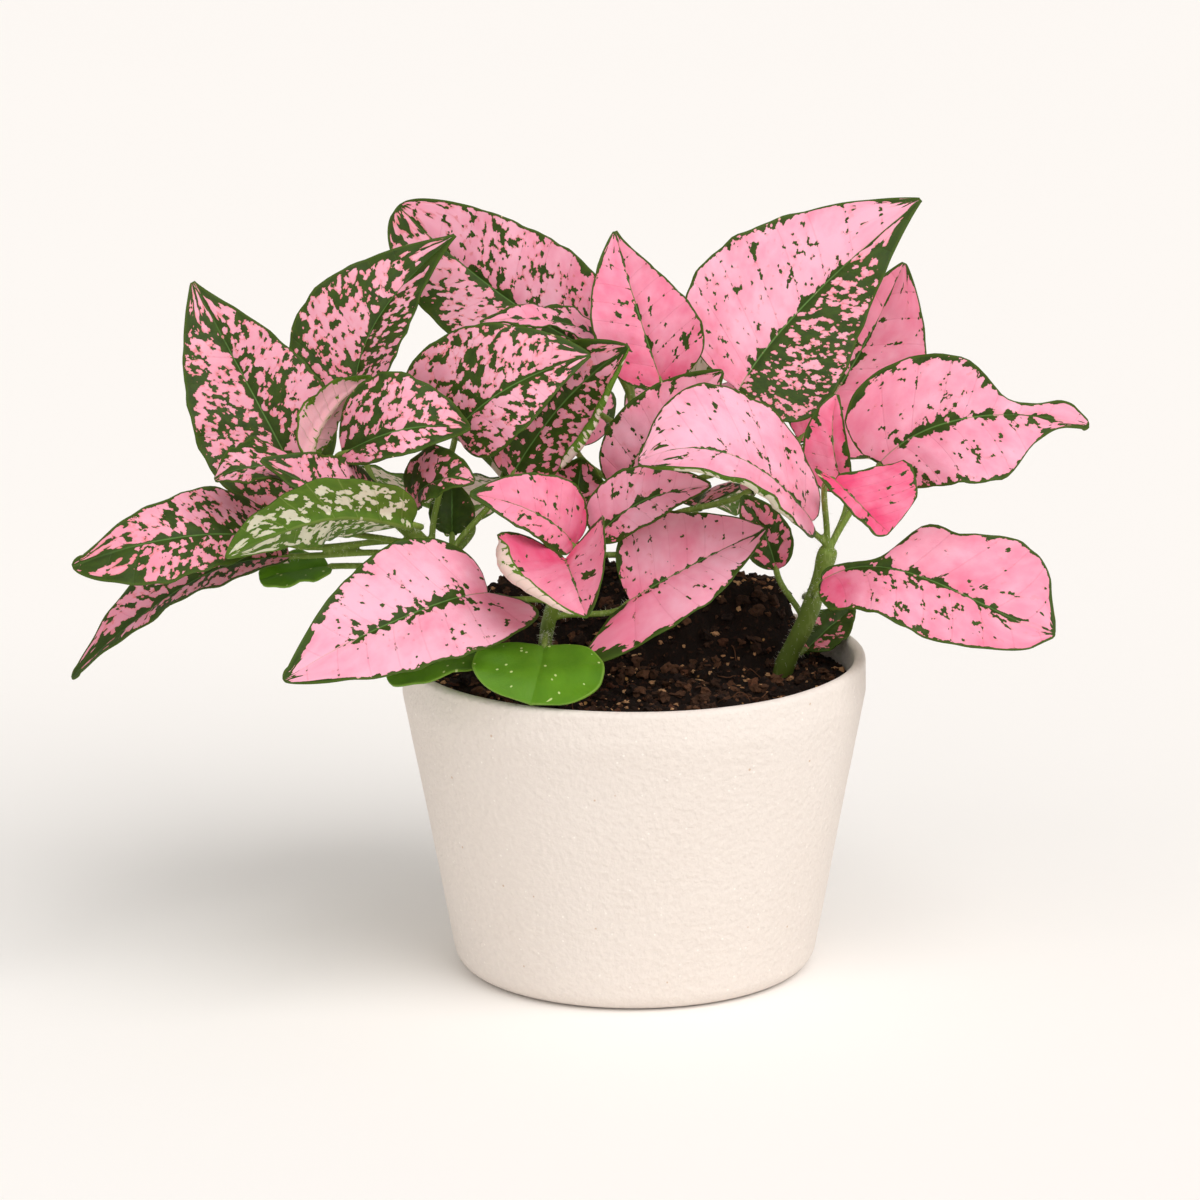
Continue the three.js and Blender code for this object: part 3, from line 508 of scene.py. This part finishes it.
# Columns of the grid between midrib and margin, and the rows' distance.
COLUMNS = [0, 0.02, 0.045, 0.08, 0.125, 0.18, 0.245, 0.315, 0.39, 0.465, 0.54, 0.61, 0.68, 0.745, 0.805, 0.86,
    0.905, 0.945, 0.975, 1]
ROW = 0.9
LATERALS = 8  # pairs of lateral veins


def rib_point(points, s):
    """The midrib at s, on the polynomial through its points."""
    points = np.array(points, float)
    last = len(points) - 1
    out = np.zeros(s.shape + (3,))
    for i, p in enumerate(points):
        w = np.ones_like(s)
        for j in range(last + 1):
            if j != i:
                w = w * (s * last - j) / (i - j)
        out += w[..., None] * p
    return out


def rib_length(leaf):
    """From base to tip."""
    base, tip = (rib_point(leaf["rib"], np.array(at)) for at in (0.0, 1.0))
    return float(np.linalg.norm(tip - base))


def through(values, s):
    """A smooth curve through evenly spaced values."""
    last = len(values) - 1
    i = np.clip((s * last).astype(int), 0, last - 1)
    t = s * last - i
    a, b, c, d = (np.array([values[0], *values, values[-1]], float)[i + k] for k in range(4))
    return b + 0.5 * t * (c - a + t * (2 * a - 5 * b + 4 * c - d + t * (3 * (b - c) + d - a)))


def rib_frame(leaf, s):
    """Tangent, upper side and right-hand side of the blade at s."""
    tangent = unit(rib_point(leaf["rib"], s + 1e-3) - rib_point(leaf["rib"], s - 1e-3))
    first, last = np.array(leaf["face"][0], float), np.array(leaf["face"][-1], float)
    up = first + (last - first) * (s * s * (3 - 2 * s))[..., None]
    up = unit(up - tangent * (up * tangent).sum(-1, keepdims=True))
    return tangent, up, np.cross(tangent, up)


def roll_margins(leaf, s, reach, right, width):
    """How far the rolled margins go across and up, so that strips of the underside show."""
    fine = np.linspace(0, 1, ROLL_STEPS + 1)
    moved = [0, 0]
    for k in (0, 1):
        own = np.radians(leaf["fold"][k] + leaf["curl"][k] * fine)
        more = own + np.radians(leaf["roll"][k]) * smooth(ROLL_FROM, ROLL_TO, fine)
        for i, f in enumerate((np.cos, np.sin)):
            gain = np.interp(reach, fine, np.cumsum(f(more) - f(own)) / ROLL_STEPS)
            moved[i] = moved[i] + width * gain * smooth(0.08, 0.3, s) * (right == bool(k))
    return moved


def blade(leaf, s, u, rng):
    """The blade's middle surface on a grid, with its fine waves, and what the materials need there.

    s runs from base to tip, u from the left margin (-1) over the midrib to the right one (1).
    """
    s, u = s[:, None] + 0 * u, u[None] + 0 * s[:, None]
    right = u >= 0
    pick = lambda pair: np.where(right, pair[1], pair[0])
    outline = leaf["outline"]
    if leaf["widths"]:
        width = pick([through(values, s) for values in leaf["widths"]])
        width = width * np.sqrt(np.minimum(1, s / 0.05) * np.minimum(1, (1 - s) / 0.08)) + 0.6
    else:
        a, b = pick((outline[0], outline[-2])), pick((outline[1], outline[-1]))
        widest = a / (a + b)
        width = pick(leaf["half"]) * (s / widest) ** a * ((1 - s) / (1 - widest)) ** b + 0.6
    reach = np.abs(u)
    length = rib_length(leaf)
    phase = [rng.uniform(0, 1) for _ in range(6)]
    # The tip is a little blunt, and the margin isn't quite smooth.
    cap = leaf["blunt"] / length
    tip = np.sqrt(np.clip(1 - ((s - 1 + cap) / cap) ** 2, 0, 1)) * (s > 1 - cap)
    width = np.maximum(width, leaf["blunt"] * tip)
    notch = np.sin(2 * math.pi * (6 * s + phase[0] + 0.3 * right))
    notch = notch + 0.6 * np.sin(2 * math.pi * (11 * s + phase[1] - 0.2 * right))
    width = width * (1 + (0.002 if leaf["seed"] else 0.010) * notch * np.sin(math.pi * s))
    fold = np.radians(pick(leaf["fold"]))
    curl = np.radians(pick(leaf["curl"]))
    curl = np.where(np.abs(curl) < 1e-3, 1e-3, curl)
    across = width * (np.sin(fold + curl * reach) - np.sin(fold)) / curl
    offset = np.abs(across)
    ripple = 0.7 * reach ** 2 * np.sin(2 * math.pi * (2.5 * s + 0.37 * right)) * np.sin(math.pi * s)
    turned = pick(leaf["lift"]) * reach ** 4 * np.sin(math.pi * s) ** 2
    if max(leaf["roll"]):
        outwards, upwards = roll_margins(leaf, s, reach, right, width)
        across, turned = across + outwards, turned + upwards
    rise = width * (np.cos(fold) - np.cos(fold + curl * reach)) / curl + ripple + turned
    back = pick(leaf["lobe"]) * reach ** 1.5 * ((s + 3e-4) / EAR_AT) ** 0.3 * ((1 - s) / (1 - EAR_AT)) ** 6
    tangent, up, side = rib_frame(leaf, s)
    # Lateral veins leave the rib forwards. The blade swells a little between them.
    vein = (s * length - 0.62 * offset * (1 - 0.25 * reach)) / (length / LATERALS) + phase[2] + 0.5 * right
    body = np.sin(math.pi * s) ** 0.6 * (1 - reach ** 3)
    swell = 0.62 * (np.abs(np.sin(math.pi * (vein - 0.5))) ** 0.8 - 0.5) * body * np.minimum(1, reach * 5)
    sway = 0.35 * np.sin(2 * math.pi * (1.3 * s + phase[3])) * np.cos(math.pi * (reach + phase[4])) * body
    frill = 0.4 * reach ** 4 * np.sin(2 * math.pi * (6.5 * s + phase[5] + 0.4 * right)) * np.sin(math.pi * s)
    groove = -0.45 * np.exp(-((offset / 0.9) ** 2)) * (1 - s) ** 0.5
    if leaf["seed"]:
        swell, frill = 0.15 * swell, 0.2 * frill
    rise = rise + swell + sway + frill + groove
    p = rib_point(leaf["rib"], s) + side * (np.sign(u) * across)[..., None]
    p = p + up * rise[..., None] - tangent * back[..., None]
    # Coordinates of the pattern: stretched along the veins, and towards the tip along the blade.
    half = pick(leaf["half"])
    to_tip = smooth(0.68, 1.0, s)
    x = length * (s - 0.30 * to_tip * (s - 0.45)) - 0.35 * offset * (1 - to_tip)
    y = np.sign(u) * (offset * (1 - to_tip) + reach * half * 0.6 * to_tip) * 0.95
    seed = np.full_like(s, leaf["index"] * 61.7 + 5.3)
    edge = (1 - reach) * np.maximum(width, 0.5)
    edge = np.minimum(edge, (1 - s) * length * 0.8 + 0.3)
    # The pattern's level that makes the wished share of the blade green.
    green = pick([0.17 * NormalDist().inv_cdf(share) for share in leaf["green"]])
    band = leaf["band"] * (0.35 + 0.9 * (1 - s))
    attributes = dict(pattern=(x + leaf["index"] * 17.3, y, seed), place=(s, edge, vein),
        look=(green, np.full_like(s, leaf["flush"]), band), across=(np.sign(u) * offset, 0 * s, 0 * s))
    return p, offset, vein, s, reach, {key: np.stack(parts, -1) for key, parts in attributes.items()}


def make_leaf(name, leaf):
    """A closed blade with an upper and a lower side, and with its veins standing out below."""
    rng = random.Random(SEED * 1000 + leaf["index"])
    t = np.linspace(0, 1, max(24, int(rib_length(leaf) / ROW)))
    rows = t - 0.09 * np.sin(2 * math.pi * t)  # closer at base and tip
    u = np.array([-c for c in COLUMNS[:0:-1]] + [-1e-9] + COLUMNS[1:])
    p, offset, vein, s, reach, attributes = blade(leaf, rows, u, rng)
    n = unit(np.cross(np.gradient(p, axis=1), np.gradient(p, axis=0)))
    n[0] = n[1]
    body = np.sin(math.pi * np.clip(s, 0.02, 1)) ** 0.5
    thick = 0.30 + 0.20 * (1 - reach ** 2)
    rib = (1.0 * (1 - s) ** 0.8 + 0.08) * np.exp(-((offset / (0.75 * (1 - s) + 0.3)) ** 2))
    line = np.abs(vein % 1 - 0.5)
    laterals = 0.16 * np.exp(-((line / 0.07) ** 2)) * body * (1 - reach ** 2)
    if leaf["seed"]:
        thick, laterals = thick + 0.25, 0.2 * laterals
    upper = p + n * (0.5 * thick)[..., None]
    lower = p - n * (0.5 * thick + rib + laterals)[..., None]
    m, k = p.shape[:2]
    verts = np.concatenate([upper.reshape(-1, 3), lower.reshape(-1, 3)])
    at = np.arange(m * k).reshape(m, k)
    low = at + m * k
    quads = lambda a, b, c, d: np.stack([a, b, c, d], -1).reshape(-1, 4)
    top = quads(at[:-1, :-1], at[:-1, 1:], at[1:, 1:], at[1:, :-1])
    bottom = quads(low[:-1, :-1], low[1:, :-1], low[1:, 1:], low[:-1, 1:])
    rim = np.concatenate([
        quads(at[:-1, 0], at[1:, 0], low[1:, 0], low[:-1, 0]),
        quads(at[1:, -1], at[:-1, -1], low[:-1, -1], low[1:, -1]),
        quads(at[0, 1:], at[0, :-1], low[0, :-1], low[0, 1:]),
        quads(at[-1, :-1], at[-1, 1:], low[-1, 1:], low[-1, :-1])])
    faces = np.concatenate([top, bottom, rim])
    slots = [0] * len(top) + [1] * len(bottom) + [0] * len(rim)
    attributes = {key: np.concatenate([values.reshape(-1, 3)] * 2) for key, values in attributes.items()}
    skins = [SEED_LEAF, SEED_LEAF] if leaf["seed"] else [UPPER, UNDER]
    obj = mesh_object("fine_" + name, verts, faces.tolist(), skins, slots, attributes)
    place(obj, name)


leaves = {}
for index, (name, given) in enumerate(LEAVES.items()):
    leaf = {**LEAF_DEFAULTS, **given, "index": index, "seed": name.startswith("seed")}
    for key in ("half", "green"):
        if not isinstance(leaf[key], tuple):
            leaf[key] = (leaf[key], leaf[key])
    leaves[name] = leaf
    make_leaf(name, leaf)


# ---------------- stems and stalks

STEM_POINTS = 60
STEM_HAIRS, HAIRS_FROM = 900, 72  # hairs on each stem, and the height above which they stand
VOXEL = 0.36


def spline(points, count):
    """A smooth curve through the points, evenly spaced."""
    before = 2 * np.array(points[0], float) - points[1]
    after = 2 * np.array(points[-1], float) - points[-2]
    pts = [before, *map(np.array, points), after]
    fine = []
    for i in range(1, len(pts) - 2):
        p0, p1, p2, p3 = (np.asarray(p, float) for p in pts[i - 1:i + 3])
        # Centripetal knots, as in the solid stems.
        k = [0.0]
        for a, b in ((p0, p1), (p1, p2), (p2, p3)):
            k.append(k[-1] + max(np.linalg.norm(b - a), 1e-6) ** 0.5)
        for t in np.linspace(k[1], k[2], 60, endpoint=False):
            a1 = (k[1] - t) / (k[1] - k[0]) * p0 + (t - k[0]) / (k[1] - k[0]) * p1
            a2 = (k[2] - t) / (k[2] - k[1]) * p1 + (t - k[1]) / (k[2] - k[1]) * p2
            a3 = (k[3] - t) / (k[3] - k[2]) * p2 + (t - k[2]) / (k[3] - k[2]) * p3
            b1 = (k[2] - t) / (k[2] - k[0]) * a1 + (t - k[0]) / (k[2] - k[0]) * a2
            b2 = (k[3] - t) / (k[3] - k[1]) * a2 + (t - k[1]) / (k[3] - k[1]) * a3
            fine.append((k[2] - t) / (k[2] - k[1]) * b1 + (t - k[1]) / (k[2] - k[1]) * b2)
    fine.append(np.array(points[-1], float))
    return even(np.array(fine), count)


def even(points, count):
    """The line with count points at even distances."""
    d = np.concatenate([[0], np.cumsum(np.linalg.norm(np.diff(points, axis=0), axis=1))])
    return np.stack([np.interp(np.linspace(0, d[-1], count), d, points[:, i]) for i in range(3)], 1)


def bezier(a, b, c, d, count):
    t = np.linspace(0, 1, count)[:, None]
    return (1 - t) ** 3 * a + 3 * (1 - t) ** 2 * t * b + 3 * (1 - t) * t * t * c + t ** 3 * d


def tube(line, radii, sides):
    """Vertices and faces of a closed rod along a line of points."""
    tangent = unit(np.gradient(line, axis=0))
    normal = np.cross(tangent[0], (0.0, 0.0, 1.0))
    if np.linalg.norm(normal) < 0.1:
        normal = np.cross(tangent[0], (1.0, 0.0, 0.0))
    verts, faces = [], []
    for i, (p, t) in enumerate(zip(line, tangent)):
        normal = unit(normal - t * (normal @ t))
        across = np.cross(t, normal)
        for j in range(sides):
            a = 2 * math.pi * j / sides
            verts.append(p + radii[i] * (math.cos(a) * normal + math.sin(a) * across))
    last = len(line) - 1
    for i in range(last):
        for j in range(sides):
            k = (j + 1) % sides
            faces.append((i * sides + j, i * sides + k, (i + 1) * sides + k, (i + 1) * sides + j))
    faces.append(tuple(range(sides))[::-1])
    faces.append(tuple(last * sides + j for j in range(sides)))
    return verts, faces


def join(parts):
    """One list of vertices and one of faces from several."""
    verts, faces = [], []
    for v, f in parts:
        base = len(verts)
        verts.extend(v)
        faces.extend(tuple(i + base for i in face) for face in f)
    return verts, faces


def stalk(leaf, line):
    """The leaf stalk, from inside the stem to just under the blade's base."""
    at = leaf["stem"][1] * (len(line) - 1)
    i = min(int(at), len(line) - 2)
    start = line[i] + (line[i + 1] - line[i]) * (at - i)
    along = unit(line[i + 1] - line[i])
    tangent, up, _ = rib_frame(leaf, np.array(0.0))
    base = rib_point(leaf["rib"], np.array(0.0))
    eared = max(leaf["lobe"]) > 0
    if eared:  # the stalk comes from below, where an ear reaches back over it
        tangent = unit(tangent + up)
    end = base - (1.9 if eared else 0.6) * tangent
    reach = np.linalg.norm(end - start)
    curve = bezier(start, start + along * 0.3 * reach, end - tangent * 0.35 * reach, end, 26)
    if eared:
        tail = rib_point(leaf["rib"], np.array([0.01, 0.035, 0.07])) - np.array([[1.0], [0.75], [0.7]]) * up
    else:
        tail = rib_point(leaf["rib"], np.array([0.0, 0.03, 0.06])) - np.array([[0.35], [0.55], [0.6]]) * up
    return np.concatenate([curve, tail])


def make_stem(name, points, radius):
    """A stem and the stalks of its leaves, grown together, with hairs."""
    line = spline(points, STEM_POINTS)
    parts = []
    own = [leaf for leaf in leaves.values() if leaf["stem"][0] == name]
    t = np.linspace(0, 1, STEM_POINTS)
    r = radius[0] + (radius[1] - radius[0]) * t
    for leaf in own:  # the stem is a little thicker where a stalk leaves it
        r = r + 0.28 * np.exp(-(((t - leaf["stem"][1]) * STEM_POINTS / 3.2) ** 2)) / (1 + 0.6 * len(own) / 8)
    parts.append(tube(line, r, 16))
    for leaf in own:
        curve = stalk(leaf, line)
        k = np.linspace(0, 1, len(curve))
        rr = 0.8 + 0.6 * np.exp(-k * 14) + 0.10 * np.exp(-((1 - k) * 12) ** 2)
        rr[-3:] *= [0.95, 0.8, 0.55]
        parts.append(tube(curve, rr, 12))
    verts, faces = join(parts)
    obj = mesh_object("fine_stem_" + name, verts, faces, [STEM, HAIR])
    fuse = obj.modifiers.new("fuse", "REMESH")
    fuse.mode = "VOXEL"
    fuse.voxel_size = VOXEL * MM
    soften = obj.modifiers.new("soften", "SMOOTH")
    soften.factor, soften.iterations = 0.5, 3
    bake(obj)
    add_hairs(obj, STEM_HAIRS, random.Random(SEED + len(own)))
    place(obj, "stem_" + name)


def bake(obj):
    """Applies the modifiers to the object's mesh."""
    bpy.context.view_layer.update()
    done = bpy.data.meshes.new_from_object(obj.evaluated_get(bpy.context.evaluated_depsgraph_get()))
    obj.modifiers.clear()
    old = obj.data
    obj.data = done
    bpy.data.meshes.remove(old)
    shade(done, True)


def add_hairs(obj, count, rng):
    """Short fine hairs standing on the skin above the soil."""
    me = obj.data
    n = len(me.vertices)
    co = np.empty(n * 3)
    no = np.empty(n * 3)
    me.vertices.foreach_get("co", co)
    me.vertices.foreach_get("normal", no)
    co, no = co.reshape(-1, 3), no.reshape(-1, 3)
    bm = bmesh.new()
    bm.from_mesh(me)
    for _ in range(count):
        i = rng.randrange(n)
        if co[i, 2] < HAIRS_FROM * MM:
            continue
        root, out = Vector(co[i]), Vector(no[i])
        lean = Vector([rng.uniform(-0.5, 0.5) for _ in range(3)])
        tip = root + (out + lean).normalized() * rng.uniform(0.5, 1.3) * MM
        side = out.orthogonal().normalized() * 0.035 * MM
        turn = Matrix.Rotation(2 * math.pi / 3, 3, out)
        ring = []
        for _ in range(3):
            ring.append(bm.verts.new(root - out * 0.1 * MM + side))
            side = turn @ side
        peak = bm.verts.new(tip)
        for k in range(3):
            face = bm.faces.new((ring[k], ring[(k + 1) % 3], peak))
            face.material_index = 1
        bm.faces.new((ring[2], ring[1], ring[0])).material_index = 1
    bm.to_mesh(me)
    bm.free()


for name, (points, radius) in STEMS.items():
    make_stem(name, points, radius)


# ---------------- pot

POT_HEIGHT, RIM, FOOT, ROUNDING, LEAN, WALL, FLOOR = 76, 55, 42.5, 5.5, math.radians(10.5), 2.8, 5


def outer(z):
    """The pot's outer radius at height z."""
    return min(RIM, FOOT + z * math.tan(LEAN))


def arc(r, z, radius, start, stop, steps):
    """Points of an arc about (r, z), from start to stop degrees."""
    return [(r + radius * math.cos(math.radians(start + (stop - start) * i / steps)),
        z + radius * math.sin(math.radians(start + (stop - start) * i / steps))) for i in range(steps + 1)]


def make_pot():
    """The pot, turned about its axis, with slight hand-made unevenness."""
    foot = FOOT - ROUNDING * math.tan(math.pi / 4 - LEAN / 2)
    lip = WALL / 2
    profile = [(0.0, 0.0), (12, 0), (24, 0), (34, 0)]
    profile += arc(foot, ROUNDING, ROUNDING, -90, -math.degrees(LEAN), 14)
    profile += [(outer(z), z) for z in np.linspace(8, 66, 40)]
    profile += [(outer(z), z) for z in (67.5, 69, 71, 73)]
    profile += arc(RIM - lip, POT_HEIGHT - lip, lip, 0, 180, 12)
    profile += [(outer(z) - WALL, z) for z in (73, 70, 67, 63, 55, 40, 25, 11)]
    profile += [(outer(11) - WALL - 2, FLOOR + 1.6), (outer(11) - WALL - 6, FLOOR), (18, FLOOR), (0.0, FLOOR)]
    segments = 256
    verts, faces, rows = [], [], []
    for r, z in profile:
        if r < 1e-6:
            rows.append([len(verts)])
            verts.append((0, 0, z))
            continue
        row = []
        for j in range(segments):
            a = 2 * math.pi * j / segments
            x, y = math.cos(a), math.sin(a)
            wobble = noise.noise(Vector((x * 2.1, y * 2.1, z / 26))) * 0.16
            wobble += noise.noise(Vector((x * 9, y * 9, z / 6))) * 0.05
            k = r + wobble * min(1, z / 8)
            row.append(len(verts))
            dip = noise.noise(Vector((x * 1.7, y * 1.7, 9))) * 0.12 if z > 70 else 0
            verts.append((k * x, k * y, z + dip))
        rows.append(row)
    for low, high in zip(rows, rows[1:]):
        for j in range(segments):
            k = (j + 1) % segments
            if len(low) == 1:
                faces.append((low[0], high[k], high[j]))
            elif len(high) == 1:
                faces.append((low[j], low[k], high[0]))
            else:
                faces.append((low[j], low[k], high[k], high[j]))
    obj = mesh_object("fine_pot", verts, faces, [POT])
    place(obj, "pot")


make_pot()


# ---------------- soil

SOIL_LEVEL, SOIL_RADIUS = 69, 51.6
CRUMBS, FIBRES, FIBRE_POINTS, FIBRE_STEP = 2150, 24, 7, 0.75
ROUND = 6.28  # about a full turn


def step(a, b, x):
    """smooth() of plain numbers, which is faster."""
    t = min(1, max(0, (x - a) / (b - a)))
    return t * t * (3 - 2 * t)


def soil_height(x, y):
    """A shallow dome with a bank behind, lumps and clods."""
    r = math.hypot(x, y)
    inside = min(1, 4 * (1 - r / SOIL_RADIUS))
    z = SOIL_LEVEL + 1.6 * (1 - (r / SOIL_RADIUS) ** 2)
    z += 18 * step(2, 22, y) * (1 - step(41, 50.5, r)) * (1 - step(34, 47, abs(x)))
    lumps = math.sin(x * 0.31 + 1) * math.cos(y * 0.27) + 0.6 * math.sin(x * 0.13 - y * 0.41)
    clods = math.sin(x * 0.95 + 0.8 * math.sin(y * 0.5)) * math.sin(y * 0.9 + 1.7)
    z += (1.1 * lumps + 0.9 * clods) * inside
    p = Vector((x, y, z * 0.5))
    return z + 0.8 * noise.noise(p / 3.1) + 0.55 * noise.noise(p / 1.5) + 0.3 * noise.noise(p / 0.8)


def make_soil():
    rings, spokes = 84, 300
    verts = [(0, 0, soil_height(0, 0))]
    for i in range(1, rings + 1):
        verts += [(x, y, soil_height(x, y)) for x, y, _ in circle(SOIL_RADIUS * i / rings, 0, spokes)]
    for r, z in ((SOIL_RADIUS, 60), (outer(12) - WALL - 0.4, 12), (outer(12) - WALL - 5, FLOOR + 0.4)):
        verts += circle(r, z, spokes)
    faces = [(0, 1 + j, 1 + (j + 1) % spokes) for j in range(spokes)]
    total = rings + 3
    for i in range(total - 1):
        for j in range(spokes):
            k = (j + 1) % spokes
            a, b = 1 + i * spokes, 1 + (i + 1) * spokes
            faces.append((a + j, b + j, b + k, a + k))
    verts.append((0, 0, FLOOR + 0.4))
    base = 1 + (total - 1) * spokes
    faces += [(len(verts) - 1, base + (j + 1) % spokes, base + j) for j in range(spokes)]
    obj = mesh_object("fine_soil", verts, faces, [SOIL])
    place(obj, "soil")


def scatter(rng, share):
    """A random place on the soil, within a share of its radius."""
    r = SOIL_RADIUS * share * math.sqrt(rng.random())
    a = rng.uniform(0, 2 * math.pi)
    return r, r * math.cos(a), r * math.sin(a)


def make_crumbs():
    """Crumbs, chips and fibres lying on the soil."""
    rng = random.Random(SEED + 5)
    bm = bmesh.new()
    bmesh.ops.create_icosphere(bm, subdivisions=2, radius=1)
    ball = [tuple(v.co) for v in bm.verts]
    ball_faces = [tuple(v.index for v in f.verts) for f in bm.faces]
    bm.free()
    parts, look = [], []
    for _ in range(CRUMBS):
        r, x, y = scatter(rng, 0.985)
        size = 0.34 + 1.15 * rng.random() ** 3
        if r + size > SOIL_RADIUS:
            continue
        chip = rng.random() < 0.16
        stretch = [rng.uniform(0.7, 1.25), rng.uniform(0.7, 1.25), rng.uniform(0.55, 1.0)]
        if chip:
            stretch = [rng.uniform(1.2, 2.2), rng.uniform(0.5, 0.9), rng.uniform(0.25, 0.45)]
        turn = Matrix.Rotation(rng.uniform(0, ROUND), 3, "Z")
        turn = turn @ Matrix.Rotation(rng.uniform(-0.5, 0.5), 3, "X")
        offset = Vector([rng.uniform(0, 99) for _ in range(3)])
        z = soil_height(x, y) + size * 0.25
        # Tone 1.0 gives the light chips, whose colour partly paints highlights on the soil.
        tone = rng.random() ** 1.4 * 0.85 if size > 0.9 or rng.random() > 0.2 else 1.0
        red = 0.75 if rng.random() < 0.07 else 0.1 * rng.random()
        verts = []
        for v in ball:
            d = Vector(v)
            k = size * (1 + 0.9 * noise.noise(d * 1.3 + offset) + 0.7 * noise.noise(d * 2.9 + offset))
            p = turn @ Vector([d[i] * k * stretch[i] for i in range(3)])
            verts.append((x + p.x, y + p.y, z + p.z))
        parts.append((verts, ball_faces))
        look += [(tone, red, 0)] * len(verts)
    for _ in range(FIBRES):
        _, x, y = scatter(rng, 0.9)
        heading, turning = rng.uniform(0, ROUND), rng.uniform(-0.25, 0.25)
        line = []
        for k in range(FIBRE_POINTS):
            arch = 0.5 * math.sin(math.pi * k / (FIBRE_POINTS - 1))
            line.append((x, y, soil_height(x, y) + 0.35 + arch))
            heading += turning + rng.uniform(-0.15, 0.15)
            x += FIBRE_STEP * math.cos(heading)
            y += FIBRE_STEP * math.sin(heading)
            if math.hypot(x, y) > SOIL_RADIUS - 1:
                break
        if len(line) < 4:
            continue
        parts.append(tube(np.array(line), [0.13] * len(line), 5))
        look += [(0.9, 0.2 * rng.random(), 0)] * len(parts[-1][0])
    obj = mesh_object("soil_crumbs", *join(parts), [CRUMB], None, {"look": look})
    shade(obj.data, False)
    place(obj, "soil")


make_soil()
make_crumbs()


# ---------------- camera, light and floor

IMAGE, FOCAL, SENSOR = 1200, 5787, 36  # picture width and focal length in pixels, sensor width
CAMERA_AT = (-0.008, -1.330, 0.424)  # metres
DOWN, TILT = math.radians(14.14), math.radians(0.3)
FLOOR_RADIUS, FLOOR_SIDES = 6000, 64


def make_stage():
    verts = [(0, 0, 0)] + circle(FLOOR_RADIUS, 0, FLOOR_SIDES)
    faces = [(0, 1 + i, 1 + (i + 1) % FLOOR_SIDES) for i in range(FLOOR_SIDES)]
    floor = mesh_object("floor", verts, faces, [FLOOR_SKIN])

    cam = bpy.data.cameras.new("camera")
    cam.sensor_width = SENSOR
    cam.lens = FOCAL / IMAGE * SENSOR
    cam.clip_start, cam.clip_end = 0.1, 20
    camera = add_object("camera", cam)
    ahead = Vector((0, math.cos(DOWN), -math.sin(DOWN)))
    above = Vector((0, math.sin(DOWN), math.cos(DOWN)))
    right = Vector((1, 0, 0)) * math.cos(TILT) - above * math.sin(TILT)
    above = above * math.cos(TILT) + Vector((1, 0, 0)) * math.sin(TILT)
    turn = Matrix((right, above, -ahead)).transposed().to_4x4()
    camera.matrix_world = Matrix.Translation(CAMERA_AT) @ turn
    bpy.context.scene.camera = camera

    def lamp(name, side, soft, power, colour):
        """A sun that shines from the given side. soft is its angle in degrees."""
        data = bpy.data.lights.new(name, "SUN")
        data.angle, data.energy, data.color = math.radians(soft), power, colour
        obj = add_object(name, data)
        obj.rotation_euler = (-Vector(side)).to_track_quat("-Z", "Y").to_euler()

    lamp("key", (0.68, -0.72, 1.1), 50, 1.8, (1.0, 0.98, 0.965))
    lamp("fill", (-0.5, -1.0, 0.6), 70, 0.5, (1.0, 0.97, 0.94))

    world = bpy.data.worlds.new("studio")
    world.use_nodes = True
    sky = world.node_tree.nodes["Background"]
    sky.inputs[0].default_value = (1.0, 0.985, 0.965, 1)
    sky.inputs[1].default_value = 0.54
    bpy.context.scene.world = world
    bpy.context.scene.view_settings.view_transform = "Standard"
    bpy.context.scene.view_settings.look = "None"


make_stage()
